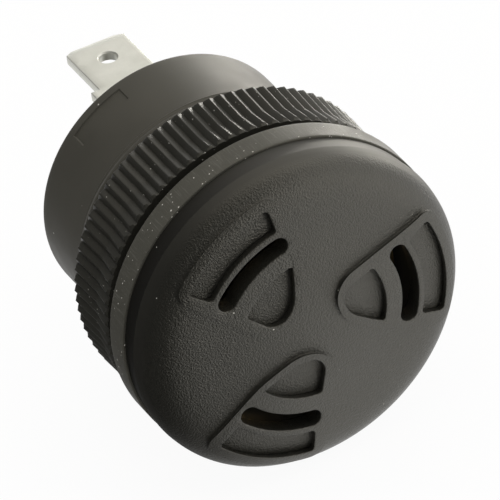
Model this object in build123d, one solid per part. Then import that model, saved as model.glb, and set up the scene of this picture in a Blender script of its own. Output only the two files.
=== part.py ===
from build123d import *
from math import asin, cos, degrees, radians, sin, tan
import os

# Panel-mount piezo alarm, in millimetres. The alarm's axis is Y: the sounding face looks along -Y,
# the terminals leave along +Y, and +Z is up. The origin is on the axis in the plane of the panel,
# where the rear face of the gasket bears.

# ---- driving dimensions ------------------------------------------------------------------------
# the radius that the others are reached from
STEM_R = 10.95            # crest of the panel thread, a 22 mm thread of 1.5 mm pitch
# front cover
HEAD_OVERHANG = 2.21      # from the stem out to the sharp edge between rolled rim and skirt
EDGE_STEP = 0.16          # from the edge in to the skirt
EDGE_LAND = 0.06          # thickness of the rim's sharp edge
SKIRT_LENGTH = 1.65
SKIRT_WALL = 0.8
CROWN_HEIGHT = 3.76       # middle of the face over the edge
# stations of the dome: distance in from the edge, height
CROWN = [(8.66, 3.6), (5.16, 3.14), (2.66, 2.62), (0.96, 1.88), (0.21, 1.0)]
CROWN_WALL = 2.3          # thickness of the face at its middle
FLANGE_SEAT = 1.9         # width of the step that the housing's flange bears on
# sound ports, three alike
PORTS = 3
PORT_TURN = 3.1           # the cover is pressed on with its first port this far round from +X
PORT_NOSE_X = 2.05        # of the blunt inner end of a port, from the middle of the face
PORT_NOSE_TOP = 2.84
PORT_NOSE_FOOT = -0.28
PORT_UPPER_ANGLE = 14.3   # of the side that leaves the top of the nose
PORT_NOSE_ANGLE = 40.0    # of the side that leaves its foot, as far as the bend
PORT_BEND_X = 5.0
PORT_LOWER_ANGLE = 25.0   # of that side past the bend
PORT_NOSE_FILLETS = (2.2, 2.95)
PORT_BEND_FILLET = 10.0
PORT_FROM_EDGE = 1.16
PORT_CORNER_FILLET = 1.0
PORT_DEPTH = 0.3
POCKET_DEPTH = 0.6        # below the floor of the port
LOBE_INSET = 0.9
POCKET_FROM_RIM = 0.7     # from the port's outer rim in to the outer pocket
POCKET_WIDTH = 1.95
POCKET_HALF_ANGLE = 21.5
POCKET_TO_SLOT = 0.52
SLOT_WIDTH = 1.41
SLOT_HALF_CHORD = 3.4
SLOT_TO_LOBE = 1.42
SMALL_FILLET = 0.3
# gasket
GASKET_THICKNESS = 2.05
GASKET_PROUD = 0.19       # beyond the skirt
GASKET_BORE_CLEARANCE = 0.05
# housing
STEM_END_Y = 9.6
STEM_CHAMFER = 0.3
THREAD_PITCH = 1.5        # drawn as rings
THREAD_GROOVES = 6
THREAD_FROM_PANEL = 0.37
THREAD_DEPTH = 0.5
THREAD_ROOT = 0.48        # flat at the foot of a groove
THREAD_CREST = 0.44
SUPPORT_LEDGE = 1.0       # step that the ring with the disc sits on
BODY_STEP = 0.5           # from the thread's crest in to the rear cup, which the nut passes over
BODY_END_Y = 16.2
BODY_EDGE_FILLET = 0.3
BODY_WALL = 1.35
BOARD_LEDGE = 0.8
FLANGE_GAP = 0.05
FLANGE_LENGTH = 2.3
FRONT_BORE_END_Y = -0.9
BOARD_LEDGE_Y = 5.0
PAD_ANGLE = 121.2         # the shallow marking pad on the rear of the housing, left bare
PAD_WIDTH = 4.83
PAD_LENGTH = 1.5
PAD_DEPTH = 0.12
PAD_FROM_END = 0.87
# ring nut
NUT_GAP = 1.25             # from the gasket to the nut, as it stands before a panel is fitted
NUT_LENGTH = 5.5
NUT_TEETH = 88
NUT_TOOTH_DEPTH = 0.35
NUT_WALL_FRONT = 1.9      # from the bore to the teeth's crest
NUT_WALL_WAIST = 1.62
NUT_WALL_REAR = 1.74
NUT_WAIST_FROM_FRONT = 2.14
NUT_END_CHAMFER = 0.22
NUT_BORE_CLEARANCE = 0.05
NUT_BORE_CHAMFER = 0.4
# terminal blades
BLADE_WIDTH = 4.9
BLADE_THICKNESS = 0.8
BLADE_FROM_WALL = 3.1     # from the wall of the cup in to the blade's middle
BLADE_SHOULDER_Y = 20.9
BLADE_TIP_Y = 26.9
BLADE_HOLE_R = 0.7
BLADE_HOLE_FROM_TIP = 2.68
BLADE_BASE_WIDTH = 6.3
BLADE_TIP_CORNER = 0.6
BLADE_NOSE = 0.6          # length of the bevels at the tip
BLADE_NOSE_DEPTH = 0.25
BLADE_LEG_WIDTH = 1.2
BLADE_LEG_SPACING = 3.6
BLADE_LEG_OUT = 0.9       # leg beyond the front of the board
# potting compound at the rear
POTTING_RECESS = 0.9
# sounding disc
SUPPORT_GAP = 0.05        # round the ring that carries the disc
SUPPORT_PLATE = 0.9
STILL_CIRCLE = 0.7135     # share of the disc's radius that stays still as it sounds
SUPPORT_RIB_WIDTH = 0.5
SUPPORT_RIB_HEIGHT = 0.6
SUPPORT_LIP = 0.5         # of the plate inside the rib
DISC_FROM_RING = 0.35     # from the ring's rim in to the disc's
DISC_THICKNESS = 0.2
CERAMIC_FROM_RIB = 0.3
CERAMIC_THICKNESS = 0.2
ELECTRODE_MARGIN = 0.4
ELECTRODE_THICKNESS = 0.05
BEAD_THICKNESS = 0.15
BEAD_WIDTH = 0.9
# circuit board
BOARD_GAP = 0.1
BOARD_THICKNESS = 1.0
HOLE_CLEARANCE = 0.1
# parts on the front of the board: places are (x, z) as shares of the waist's radius,
# sizes are along x, along z and height
DRIVER_AT = (0.0, -0.155)
DRIVER_SIZE = (3.0, 3.0, 0.9)
DRIVER_LEGS_A_SIDE = 4
DRIVER_PITCH = 0.65
DRIVER_LEG_REACH = 0.95
DRIVER_LEG_WIDTH = 0.3
DRIVER_DOT_R = 0.25
DRIVER_DOT_DEPTH = 0.1
DRIVER_DOT_INSET = 0.6
TRANSISTOR_AT = (0.0, 0.385)
TRANSISTOR_SIZE = (2.9, 1.3, 1.0)
TRANSISTOR_LEG_SPREAD = 0.95
TRANSISTOR_LEG_REACH = 0.65
TRANSISTOR_LEG_WIDTH = 0.42
LEG_THICKNESS = 0.18
LEG_FOOT = 0.4
DIODE_AT = (0.56, -0.29)
DIODE_SIZE = (1.6, 2.7, 1.2)
DIODE_TAB_WIDTH = 0.6
DIODE_TAB_REACH = 0.5
DIODE_TAB_THICKNESS = 0.2
RESISTORS_AT = [(-0.5, -0.42), (-0.5, -0.6), (-0.45, 0.55)]
RESISTOR_SIZE = (1.6, 0.8, 0.45)
CHIP_CAPACITORS_AT = [(0.48, -0.62), (0.48, 0.62)]
CHIP_CAPACITOR_SIZE = (1.6, 0.8, 0.8)
INDUCTOR_AT = (-0.6, 0.02)
INDUCTOR_R = 2.2
INDUCTOR_HEIGHT = 4.5
INDUCTOR_CORE_R = 1.1
INDUCTOR_FLANGE = 0.7
WINDING_MARGIN = 0.2               # from the winding to the flange's rim
CAPACITOR_AT = (0.6, 0.2)
CAPACITOR_R = 1.6
CAPACITOR_HEIGHT = 5.0
CAPACITOR_SLEEVE = 0.1
CAPACITOR_BEAD_HEIGHT = 0.9        # from the board to the crimped bead round the can
CAPACITOR_BEAD = 0.15
CAPACITOR_TURN_OVER = 0.4          # from the can's top to the sleeve
SLEEVE_OFF_BEAD = 0.2
CAPACITOR_LEAD_R = 0.2
CAPACITOR_LEAD_PITCH = 1.0
# solder and leads
SOLDER_FOOT_R = 1.0
SOLDER_TOP_R = 0.78
SOLDER_HEIGHT = 0.6
LEAD_R = 0.35
LEAD_PAD_R = 0.6
LEAD_PAD_HEIGHT = 0.3
DISC_LEAD_FROM_RIM = 1.5           # of its joint on the brass
DISC_LEAD_ANGLE = 200.0
DISC_LEAD_BOARD_ANGLE = 206.0
CERAMIC_LEAD_AT = (0.18, 0.18)
CERAMIC_LEAD_BOARD_AT = (0.3, 0.4)
LEAD_NOTCH_WIDTH = 1.8

# ---- sizes and places worked out from them -----------------------------------------------------
CUTTER_REACH = HEAD_OVERHANG       # how far a cutter stands out of what it cuts
EDGE_R = STEM_R + HEAD_OVERHANG
SKIRT_END_Y = -GASKET_THICKNESS
EDGE_Y = SKIRT_END_Y - SKIRT_LENGTH
CROWN_Y = EDGE_Y - CROWN_HEIGHT
FACE_INNER_Y = CROWN_Y + CROWN_WALL
SKIRT_R = EDGE_R - EDGE_STEP
SKIRT_INNER_R = SKIRT_R - SKIRT_WALL
CHAMBER_R = SKIRT_INNER_R - FLANGE_SEAT
PORT_OUTER_R = EDGE_R - PORT_FROM_EDGE
POCKET_OUTER_R = PORT_OUTER_R - POCKET_FROM_RIM
POCKET_INNER_R = POCKET_OUTER_R - POCKET_WIDTH
SLOT_OUTER_R = POCKET_INNER_R - POCKET_TO_SLOT
SLOT_INNER_R = SLOT_OUTER_R - SLOT_WIDTH
LOBE_OUTER_R = SLOT_INNER_R - SLOT_TO_LOBE
GASKET_R = SKIRT_R + GASKET_PROUD
FLANGE_Y = SKIRT_END_Y - FLANGE_LENGTH
FLANGE_R = SKIRT_INNER_R - FLANGE_GAP
BODY_R = STEM_R - BODY_STEP
REAR_BORE_R = BODY_R - BODY_WALL
WAIST_BORE_R = REAR_BORE_R - BOARD_LEDGE
FRONT_BORE_R = WAIST_BORE_R + SUPPORT_LEDGE
NUT_FRONT_Y = NUT_GAP
NUT_REAR_Y = NUT_FRONT_Y + NUT_LENGTH
NUT_BORE_R = STEM_R + NUT_BORE_CLEARANCE
NUT_FRONT_R = NUT_BORE_R + NUT_WALL_FRONT
NUT_WAIST_R = NUT_BORE_R + NUT_WALL_WAIST
NUT_REAR_R = NUT_BORE_R + NUT_WALL_REAR
SUPPORT_R = FRONT_BORE_R - SUPPORT_GAP
DISC_R = SUPPORT_R - DISC_FROM_RING
SUPPORT_RIB_R = STILL_CIRCLE * DISC_R
SUPPORT_RIB_INNER_R = SUPPORT_RIB_R - SUPPORT_RIB_WIDTH / 2
SUPPORT_RIB_OUTER_R = SUPPORT_RIB_R + SUPPORT_RIB_WIDTH / 2
SUPPORT_INNER_R = SUPPORT_RIB_INNER_R - SUPPORT_LIP
SUPPORT_FRONT_Y = FRONT_BORE_END_Y - SUPPORT_PLATE
SUPPORT_RIB_Y = SUPPORT_FRONT_Y - SUPPORT_RIB_HEIGHT
CERAMIC_R = SUPPORT_RIB_INNER_R - CERAMIC_FROM_RIB
ELECTRODE_R = CERAMIC_R - ELECTRODE_MARGIN
BOARD_R = REAR_BORE_R - BOARD_GAP
BLADE_PLANE_Z = REAR_BORE_R - BLADE_FROM_WALL
DISC_REAR_Y = SUPPORT_RIB_Y - BEAD_THICKNESS
DISC_FRONT_Y = DISC_REAR_Y - DISC_THICKNESS
CERAMIC_REAR_Y = DISC_REAR_Y + CERAMIC_THICKNESS
ELECTRODE_REAR_Y = CERAMIC_REAR_Y + ELECTRODE_THICKNESS
DISC_LEAD_R = DISC_R - DISC_LEAD_FROM_RIM
BOARD_FRONT_Y = BOARD_LEDGE_Y
BOARD_REAR_Y = BOARD_FRONT_Y + BOARD_THICKNESS
POTTING_END_Y = BODY_END_Y - POTTING_RECESS


def turned(points):
    """Solid of revolution about Y from a closed outline of (radius, y) corners."""
    return revolve(make_face(Polyline(*points, close=True)), Axis.Y)


def tube(outer, inner, y0, y1):
    """Plain ring about Y between two stations."""
    return turned([(inner, y0), (outer, y0), (outer, y1), (inner, y1)])


def rod(radius, y0, y1, x=0.0, z=0.0):
    """Plain cylinder along Y."""
    return Pos(x, 0, z) * turned([(0, y0), (radius, y0), (radius, y1), (0, y1)])


def box(x, z, width, depth, y0, y1):
    """Block whose middle is at (x, z), from y0 to y1."""
    return Pos(x, (y0 + y1) / 2, z) * Box(width, y1 - y0, depth)


def crown_solid(sink):
    """The cover's domed form, lowered by sink and closed by a thin land behind its edge."""
    y_edge = EDGE_Y + sink
    outline = [(0, y_edge - CROWN_HEIGHT)]
    outline += [(EDGE_R - inset, y_edge - height) for inset, height in CROWN]
    outline.append((EDGE_R, y_edge))
    y_end = y_edge + EDGE_LAND
    dome = Spline(*outline, tangents=[(1, 0), (0.12, 1)])
    side = Polyline(outline[-1], (EDGE_R, y_end), (0, y_end), outline[0])
    return revolve(make_face(dome + side), Axis.Y)


def on_face(sketch):
    """Carries a flat outline (x, z) to the plane in front of the cover and makes it a deep prism."""
    facing = Plane(origin=(0, CROWN_Y - CUTTER_REACH, 0), x_dir=(1, 0, 0), z_dir=(0, -1, 0))
    return extrude(facing * sketch, -(CROWN_HEIGHT + CUTTER_REACH))


def polar(radius, angle):
    return (radius * cos(radians(angle)), radius * sin(radians(angle)))


def wedge(inset, outer_r):
    """Blunt wedge of a sound port, moved in by inset and closed by an arc about the face centre."""
    bend_z = PORT_NOSE_FOOT - (PORT_BEND_X - PORT_NOSE_X) * tan(radians(PORT_NOSE_ANGLE))
    top_z = PORT_NOSE_TOP + (EDGE_R - PORT_NOSE_X) * tan(radians(PORT_UPPER_ANGLE))
    low_z = bend_z - (EDGE_R - PORT_BEND_X) * tan(radians(PORT_LOWER_ANGLE))
    foot, bend = (PORT_NOSE_X, PORT_NOSE_FOOT), (PORT_BEND_X, bend_z)
    top = (PORT_NOSE_X, PORT_NOSE_TOP)
    face = make_face(Polyline(top, foot, bend, (EDGE_R, low_z), (EDGE_R, top_z), close=True))
    for corner, radius in zip((top, foot, bend), (*PORT_NOSE_FILLETS, PORT_BEND_FILLET)):
        face = fillet(face.vertices().sort_by_distance(corner)[0], radius)
    return offset(face, -inset) & Circle(outer_r) if inset else face & Circle(outer_r)


def rounded(face, radius):
    """Rounds the two outer corners of a wedge."""
    return fillet(face.vertices().sort_by(Axis.X)[-2:], radius)


def ring_sector(inner_r, outer_r, half_angle, radius):
    """Sector of a flat ring with small corner fillets."""
    a, b = polar(inner_r, half_angle), polar(outer_r, half_angle)
    c, d = (b[0], -b[1]), (a[0], -a[1])
    outline = Line(a, b) + ThreePointArc(b, (outer_r, 0), c) + Line(c, d) + ThreePointArc(d, (inner_r, 0), a)
    face = make_face(outline)
    return fillet(face.vertices(), radius)


def port_slot():
    """Round-ended slot along an arc about the face centre."""
    middle_r = (SLOT_INNER_R + SLOT_OUTER_R) / 2
    end_r = (SLOT_OUTER_R - SLOT_INNER_R) / 2
    half = degrees(asin(SLOT_HALF_CHORD / middle_r) - end_r / middle_r)
    return SlotArc(CenterArc((0, 0), middle_r, -half, 2 * half), 2 * end_r)


def make_cover():
    """Pressed-on cover: domed face with three ports, rolled rim, skirt, hollow back."""
    shell = crown_solid(0) + rod(SKIRT_R, EDGE_Y, SKIRT_END_Y)
    shell -= rod(CHAMBER_R, FACE_INNER_Y, SKIRT_END_Y)
    shell -= rod(SKIRT_INNER_R, FLANGE_Y, SKIRT_END_Y)
    floor = crown_solid(PORT_DEPTH)
    deep_floor = crown_solid(PORT_DEPTH + POCKET_DEPTH)
    recess = on_face(rounded(wedge(0, PORT_OUTER_R), PORT_CORNER_FILLET)) - floor
    lobe = on_face(rounded(wedge(LOBE_INSET, LOBE_OUTER_R), SMALL_FILLET)) - deep_floor
    sector = ring_sector(POCKET_INNER_R, POCKET_OUTER_R, POCKET_HALF_ANGLE, SMALL_FILLET)
    pocket = on_face(sector) - deep_floor
    for k in range(PORTS):
        turn = Rot(0, -(PORT_TURN + k * 360 / PORTS), 0)
        for cutter in (recess, lobe, pocket, on_face(port_slot())):
            shell -= turn * cutter
    return shell


def make_housing():
    """Flange, panel stem and rear cup in one moulding, bored from both ends."""
    root_r = STEM_R - THREAD_DEPTH
    flank = (THREAD_PITCH - THREAD_ROOT - THREAD_CREST) / 2
    thread = []
    for k in range(THREAD_GROOVES):
        y = THREAD_FROM_PANEL + k * THREAD_PITCH
        y_foot, y_rise = y + flank, y + flank + THREAD_ROOT
        thread += [(STEM_R, y), (root_r, y_foot), (root_r, y_rise), (STEM_R, y_rise + flank)]
    body = turned([
        (0, FLANGE_Y), (FLANGE_R, FLANGE_Y), (FLANGE_R, SKIRT_END_Y), (STEM_R, SKIRT_END_Y), *thread,
        (STEM_R, STEM_END_Y - STEM_CHAMFER), (STEM_R - STEM_CHAMFER, STEM_END_Y), (BODY_R, STEM_END_Y),
        (BODY_R, BODY_END_Y), (0, BODY_END_Y),
    ])
    rim = body.edges().group_by(Axis.Y)[-1]
    body = fillet(rim, BODY_EDGE_FILLET)
    body -= rod(FRONT_BORE_R, FLANGE_Y, FRONT_BORE_END_Y)
    body -= rod(WAIST_BORE_R, FRONT_BORE_END_Y, BOARD_LEDGE_Y)
    body -= rod(REAR_BORE_R, BOARD_LEDGE_Y, BODY_END_Y)
    pad_y0, pad_y1 = BODY_END_Y - PAD_FROM_END - PAD_LENGTH, BODY_END_Y - PAD_FROM_END
    skin = tube(BODY_R + CUTTER_REACH, BODY_R - PAD_DEPTH, pad_y0, pad_y1)
    pad = skin & box(BODY_R, 0, BODY_R, PAD_WIDTH, pad_y0, pad_y1)
    body -= Rot(0, -PAD_ANGLE, 0) * pad
    return body


def serrated_ring(y, crest_r):
    """Closed zigzag of the nut's teeth at one station of its length."""
    points = []
    for k in range(2 * NUT_TEETH):
        radius = crest_r if k % 2 == 0 else crest_r - NUT_TOOTH_DEPTH
        x, z = polar(radius, 180 * k / NUT_TEETH)
        points.append((x, y, z))
    return Wire(Polyline(*points, close=True).edges())


def make_nut():
    """Ring nut with waisted V serrations and a plain bore at the thread's crest."""
    waist_y = NUT_FRONT_Y + NUT_WAIST_FROM_FRONT
    stations = [(NUT_FRONT_Y, NUT_FRONT_R), (waist_y, NUT_WAIST_R), (NUT_REAR_Y, NUT_REAR_R)]
    teeth = Solid.make_loft([serrated_ring(*station) for station in stations], ruled=True)
    y0, y1, c, b = NUT_FRONT_Y, NUT_REAR_Y, NUT_END_CHAMFER, NUT_BORE_CHAMFER
    blank = turned([
        (NUT_BORE_R + b, y0), (NUT_FRONT_R - c, y0), (NUT_FRONT_R, y0 + c), (NUT_FRONT_R, y1 - c),
        (NUT_REAR_R - c, y1), (NUT_BORE_R + b, y1), (NUT_BORE_R, y1 - b), (NUT_BORE_R, y0 + b),
    ])
    return blank & teeth


def blade_outline():
    """Flat outline of one blade: narrow tab, wider base and two board legs."""
    half, base = BLADE_WIDTH / 2, BLADE_BASE_WIDTH / 2
    leg0 = BLADE_LEG_SPACING / 2 - BLADE_LEG_WIDTH / 2
    leg1 = leg0 + BLADE_LEG_WIDTH
    leg_y = BOARD_FRONT_Y - BLADE_LEG_OUT
    right = [
        (leg0, BOARD_REAR_Y), (leg0, leg_y), (leg1, leg_y), (leg1, BOARD_REAR_Y), (base, BOARD_REAR_Y),
        (base, BLADE_SHOULDER_Y), (half, BLADE_SHOULDER_Y), (half, BLADE_TIP_Y - BLADE_TIP_CORNER),
        (half - BLADE_TIP_CORNER, BLADE_TIP_Y),
    ]
    left = [(-x, y) for x, y in reversed(right)]
    return make_face(Polyline(*right, *left, close=True))


def make_blade(side):
    """Terminal blade on the side given by the sign of its Z, with a bevelled nose and a detent hole."""
    half = BLADE_THICKNESS / 2
    leg_y = BOARD_FRONT_Y - BLADE_LEG_OUT
    plate = Pos(0, 0, -half) * extrude(blade_outline(), BLADE_THICKNESS)
    edge_on = make_face(Polyline(
        (leg_y, -half), (BLADE_TIP_Y - BLADE_NOSE, -half), (BLADE_TIP_Y, BLADE_NOSE_DEPTH - half),
        (BLADE_TIP_Y, half - BLADE_NOSE_DEPTH), (BLADE_TIP_Y - BLADE_NOSE, half), (leg_y, half), close=True,
    ))
    plate &= Pos(-BLADE_BASE_WIDTH / 2, 0, 0) * extrude(Plane.YZ * edge_on, BLADE_BASE_WIDTH)
    plate -= Pos(0, BLADE_TIP_Y - BLADE_HOLE_FROM_TIP, 0) * Cylinder(BLADE_HOLE_R, 2 * BLADE_THICKNESS)
    return Pos(0, 0, side * BLADE_PLANE_Z) * plate


def make_board():
    """Round board with slots for the blade legs and holes for the capacitor's leads."""
    board = rod(BOARD_R, BOARD_FRONT_Y, BOARD_REAR_Y)
    for x, z in capacitor_leads():
        board -= rod(CAPACITOR_LEAD_R + HOLE_CLEARANCE, BOARD_FRONT_Y, BOARD_REAR_Y, x, z)
    for side in (1, -1):
        for leg in (1, -1):
            board -= box(
                leg * BLADE_LEG_SPACING / 2, side * BLADE_PLANE_Z,
                BLADE_LEG_WIDTH + 2 * HOLE_CLEARANCE, BLADE_THICKNESS + 2 * HOLE_CLEARANCE,
                BOARD_FRONT_Y, BOARD_REAR_Y,
            )
    return board


def make_support():
    """Ring that carries the sounding disc on a narrow rib at its still circle, notched for the lead."""
    ring = tube(SUPPORT_R, SUPPORT_INNER_R, SUPPORT_FRONT_Y, FRONT_BORE_END_Y)
    ring += tube(SUPPORT_RIB_OUTER_R, SUPPORT_RIB_INNER_R, SUPPORT_RIB_Y, SUPPORT_FRONT_Y)
    return ring - lead_notch()


def lead_notch():
    """Radial gap that the lead from the brass passes through."""
    reach = DISC_LEAD_R + LEAD_NOTCH_WIDTH / 2
    block = box(reach / 2, 0, reach, LEAD_NOTCH_WIDTH, DISC_REAR_Y, FRONT_BORE_END_Y)
    return Rot(0, -DISC_LEAD_ANGLE, 0) * block


def make_bead():
    """Silicone bead between the rib and the disc."""
    half = BEAD_WIDTH / 2
    bead = tube(SUPPORT_RIB_R + half, SUPPORT_RIB_R - half, DISC_REAR_Y, SUPPORT_RIB_Y)
    return bead - lead_notch()


def gull_leg(reach, height, width):
    """One bent leg in its own frame: it leaves the body at x = 0 and its foot rests at y = 0."""
    t, shoulder = LEG_THICKNESS, reach - LEG_FOOT
    outline = Polyline(
        (0, -height), (shoulder, -height), (shoulder, -t), (reach, -t), (reach, 0), (shoulder - t, 0),
        (shoulder - t, -height + t), (0, -height + t), close=True,
    )
    return Pos(0, 0, -width / 2) * extrude(make_face(outline), width)


def place(shares):
    """Turns a place given in shares of the waist's radius into millimetres."""
    return (shares[0] * WAIST_BORE_R, shares[1] * WAIST_BORE_R)


def legs_along_z(at, size, reach, width, stations, side):
    """Legs on the +Z or -Z side of a body, at the given offsets along X."""
    x, z = place(at)
    leg = Rot(0, -90 * side, 0) * gull_leg(reach, size[2] / 2, width)
    edge = z + side * size[1] / 2
    return [Pos(x + dx, BOARD_FRONT_Y, edge) * leg for dx in stations]


def on_board(at, size):
    """Block standing on the front of the board."""
    return box(*place(at), size[0], size[1], BOARD_FRONT_Y - size[2], BOARD_FRONT_Y)


def make_driver():
    """Driver chip with its corner dot as a shallow dimple."""
    chip = on_board(DRIVER_AT, DRIVER_SIZE)
    top = BOARD_FRONT_Y - DRIVER_SIZE[2]
    middle = place(DRIVER_AT)
    x = middle[0] - DRIVER_SIZE[0] / 2 + DRIVER_DOT_INSET
    z = middle[1] - DRIVER_SIZE[1] / 2 + DRIVER_DOT_INSET
    return chip - rod(DRIVER_DOT_R, top, top + DRIVER_DOT_DEPTH, x, z)


def driver_legs():
    """Four legs on each long side."""
    first = -DRIVER_PITCH * (DRIVER_LEGS_A_SIDE - 1) / 2
    offsets = [first + k * DRIVER_PITCH for k in range(DRIVER_LEGS_A_SIDE)]
    legs = []
    for side in (1, -1):
        legs += legs_along_z(DRIVER_AT, DRIVER_SIZE, DRIVER_LEG_REACH, DRIVER_LEG_WIDTH, offsets, side)
    return legs


def transistor_legs():
    """Two legs on one side and one on the other."""
    s = TRANSISTOR_LEG_SPREAD
    legs = []
    for offsets, side in (((-s, s), -1), ((0,), 1)):
        legs += legs_along_z(
            TRANSISTOR_AT, TRANSISTOR_SIZE, TRANSISTOR_LEG_REACH, TRANSISTOR_LEG_WIDTH, offsets, side
        )
    return legs


def make_diode():
    """Moulded diode with a flat tab at each end."""
    tabs = on_board(DIODE_AT, (DIODE_TAB_WIDTH, DIODE_SIZE[1] + 2 * DIODE_TAB_REACH, DIODE_TAB_THICKNESS))
    return on_board(DIODE_AT, DIODE_SIZE) + tabs


def standing(at):
    """Moves a turned piece from the axis to its place on the board."""
    x, z = place(at)
    return Pos(x, 0, z)


def make_inductor_core():
    """Ferrite drum: two flanges on a narrow core."""
    y0, y1, r = BOARD_FRONT_Y - INDUCTOR_HEIGHT, BOARD_FRONT_Y, INDUCTOR_R
    drum = turned([
        (0, y0), (r, y0), (r, y0 + INDUCTOR_FLANGE), (INDUCTOR_CORE_R, y0 + INDUCTOR_FLANGE),
        (INDUCTOR_CORE_R, y1 - INDUCTOR_FLANGE), (r, y1 - INDUCTOR_FLANGE), (r, y1), (0, y1),
    ])
    return standing(INDUCTOR_AT) * drum


def make_winding():
    """Copper winding that fills the drum's waist."""
    y0 = BOARD_FRONT_Y - INDUCTOR_HEIGHT + INDUCTOR_FLANGE
    coil = tube(INDUCTOR_R - WINDING_MARGIN, INDUCTOR_CORE_R, y0, BOARD_FRONT_Y - INDUCTOR_FLANGE)
    return standing(INDUCTOR_AT) * coil


def capacitor_leads():
    """Places of the capacitor's two leads on the board."""
    x, z = place(CAPACITOR_AT)
    return [(x - CAPACITOR_LEAD_PITCH / 2, z), (x + CAPACITOR_LEAD_PITCH / 2, z)]


def make_capacitor():
    """Aluminium can with a crimped bead and two leads through the board."""
    y0 = BOARD_FRONT_Y - CAPACITOR_HEIGHT
    bead_y = BOARD_FRONT_Y - CAPACITOR_BEAD_HEIGHT
    r, b = CAPACITOR_R, CAPACITOR_BEAD
    can = standing(CAPACITOR_AT) * turned([
        (0, y0), (r - b, y0), (r, y0 + b), (r, bead_y - b), (r - b, bead_y), (r, bead_y + b),
        (r, BOARD_FRONT_Y), (0, BOARD_FRONT_Y),
    ])
    for x, z in capacitor_leads():
        can += rod(CAPACITOR_LEAD_R, BOARD_FRONT_Y, BOARD_REAR_Y, x, z)
    return can


def make_sleeve():
    """Film sleeve on the can, between its turned top edge and the bead."""
    y0 = BOARD_FRONT_Y - CAPACITOR_HEIGHT + CAPACITOR_TURN_OVER
    y1 = BOARD_FRONT_Y - CAPACITOR_BEAD_HEIGHT - SLEEVE_OFF_BEAD
    sleeve = tube(CAPACITOR_R + CAPACITOR_SLEEVE, CAPACITOR_R, y0, y1)
    return standing(CAPACITOR_AT) * sleeve


def frustum(foot_r, top_r, y_foot, y_top, x, z):
    """Solder mound standing on the plane y_foot."""
    return Pos(x, 0, z) * turned([(0, y_foot), (foot_r, y_foot), (top_r, y_top), (0, y_top)])


def board_solder():
    """Mounds round the four blade legs, and one where each lead lands."""
    mounds = []
    y_top = BOARD_FRONT_Y - SOLDER_HEIGHT
    for side in (1, -1):
        for leg in (1, -1):
            at = (leg * BLADE_LEG_SPACING / 2, side * BLADE_PLANE_Z)
            mound = frustum(SOLDER_FOOT_R, SOLDER_TOP_R, BOARD_FRONT_Y, y_top, *at)
            mounds.append(mound - box(*at, BLADE_LEG_WIDTH, BLADE_THICKNESS, y_top, BOARD_FRONT_Y))
    for at in (polar(DISC_LEAD_R, DISC_LEAD_BOARD_ANGLE), place(CERAMIC_LEAD_BOARD_AT)):
        mounds.append(frustum(LEAD_PAD_R, LEAD_R, BOARD_FRONT_Y, BOARD_FRONT_Y - LEAD_PAD_HEIGHT, *at))
    return mounds


def disc_solder():
    """The two joints on the sounding disc: one on the brass, one on the electrode."""
    joints = []
    brass_joint = (polar(DISC_LEAD_R, DISC_LEAD_ANGLE), DISC_REAR_Y)
    silver_joint = (place(CERAMIC_LEAD_AT), ELECTRODE_REAR_Y)
    for at, y in (brass_joint, silver_joint):
        joints.append(frustum(LEAD_PAD_R, LEAD_R, y, y + LEAD_PAD_HEIGHT, *at))
    return joints


def make_lead(start, y, end):
    """Insulated lead from a joint that stands on the plane y of the disc to its pad on the board."""
    first = (start[0], y + LEAD_PAD_HEIGHT, start[1])
    last = (end[0], BOARD_FRONT_Y - LEAD_PAD_HEIGHT, end[1])
    path = Spline(first, last, tangents=[(0, 1, 0), (0, 1, 0)])
    profile = Plane(origin=first, z_dir=(0, 1, 0)) * Circle(LEAD_R)
    return sweep(profile, path)


def make_potting():
    """Casting resin behind the board, round both blades."""
    resin = rod(REAR_BORE_R, BOARD_REAR_Y, POTTING_END_Y)
    for side in (1, -1):
        resin -= box(0, side * BLADE_PLANE_Z, BLADE_BASE_WIDTH, BLADE_THICKNESS, BOARD_REAR_Y, POTTING_END_Y)
    return resin


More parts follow.
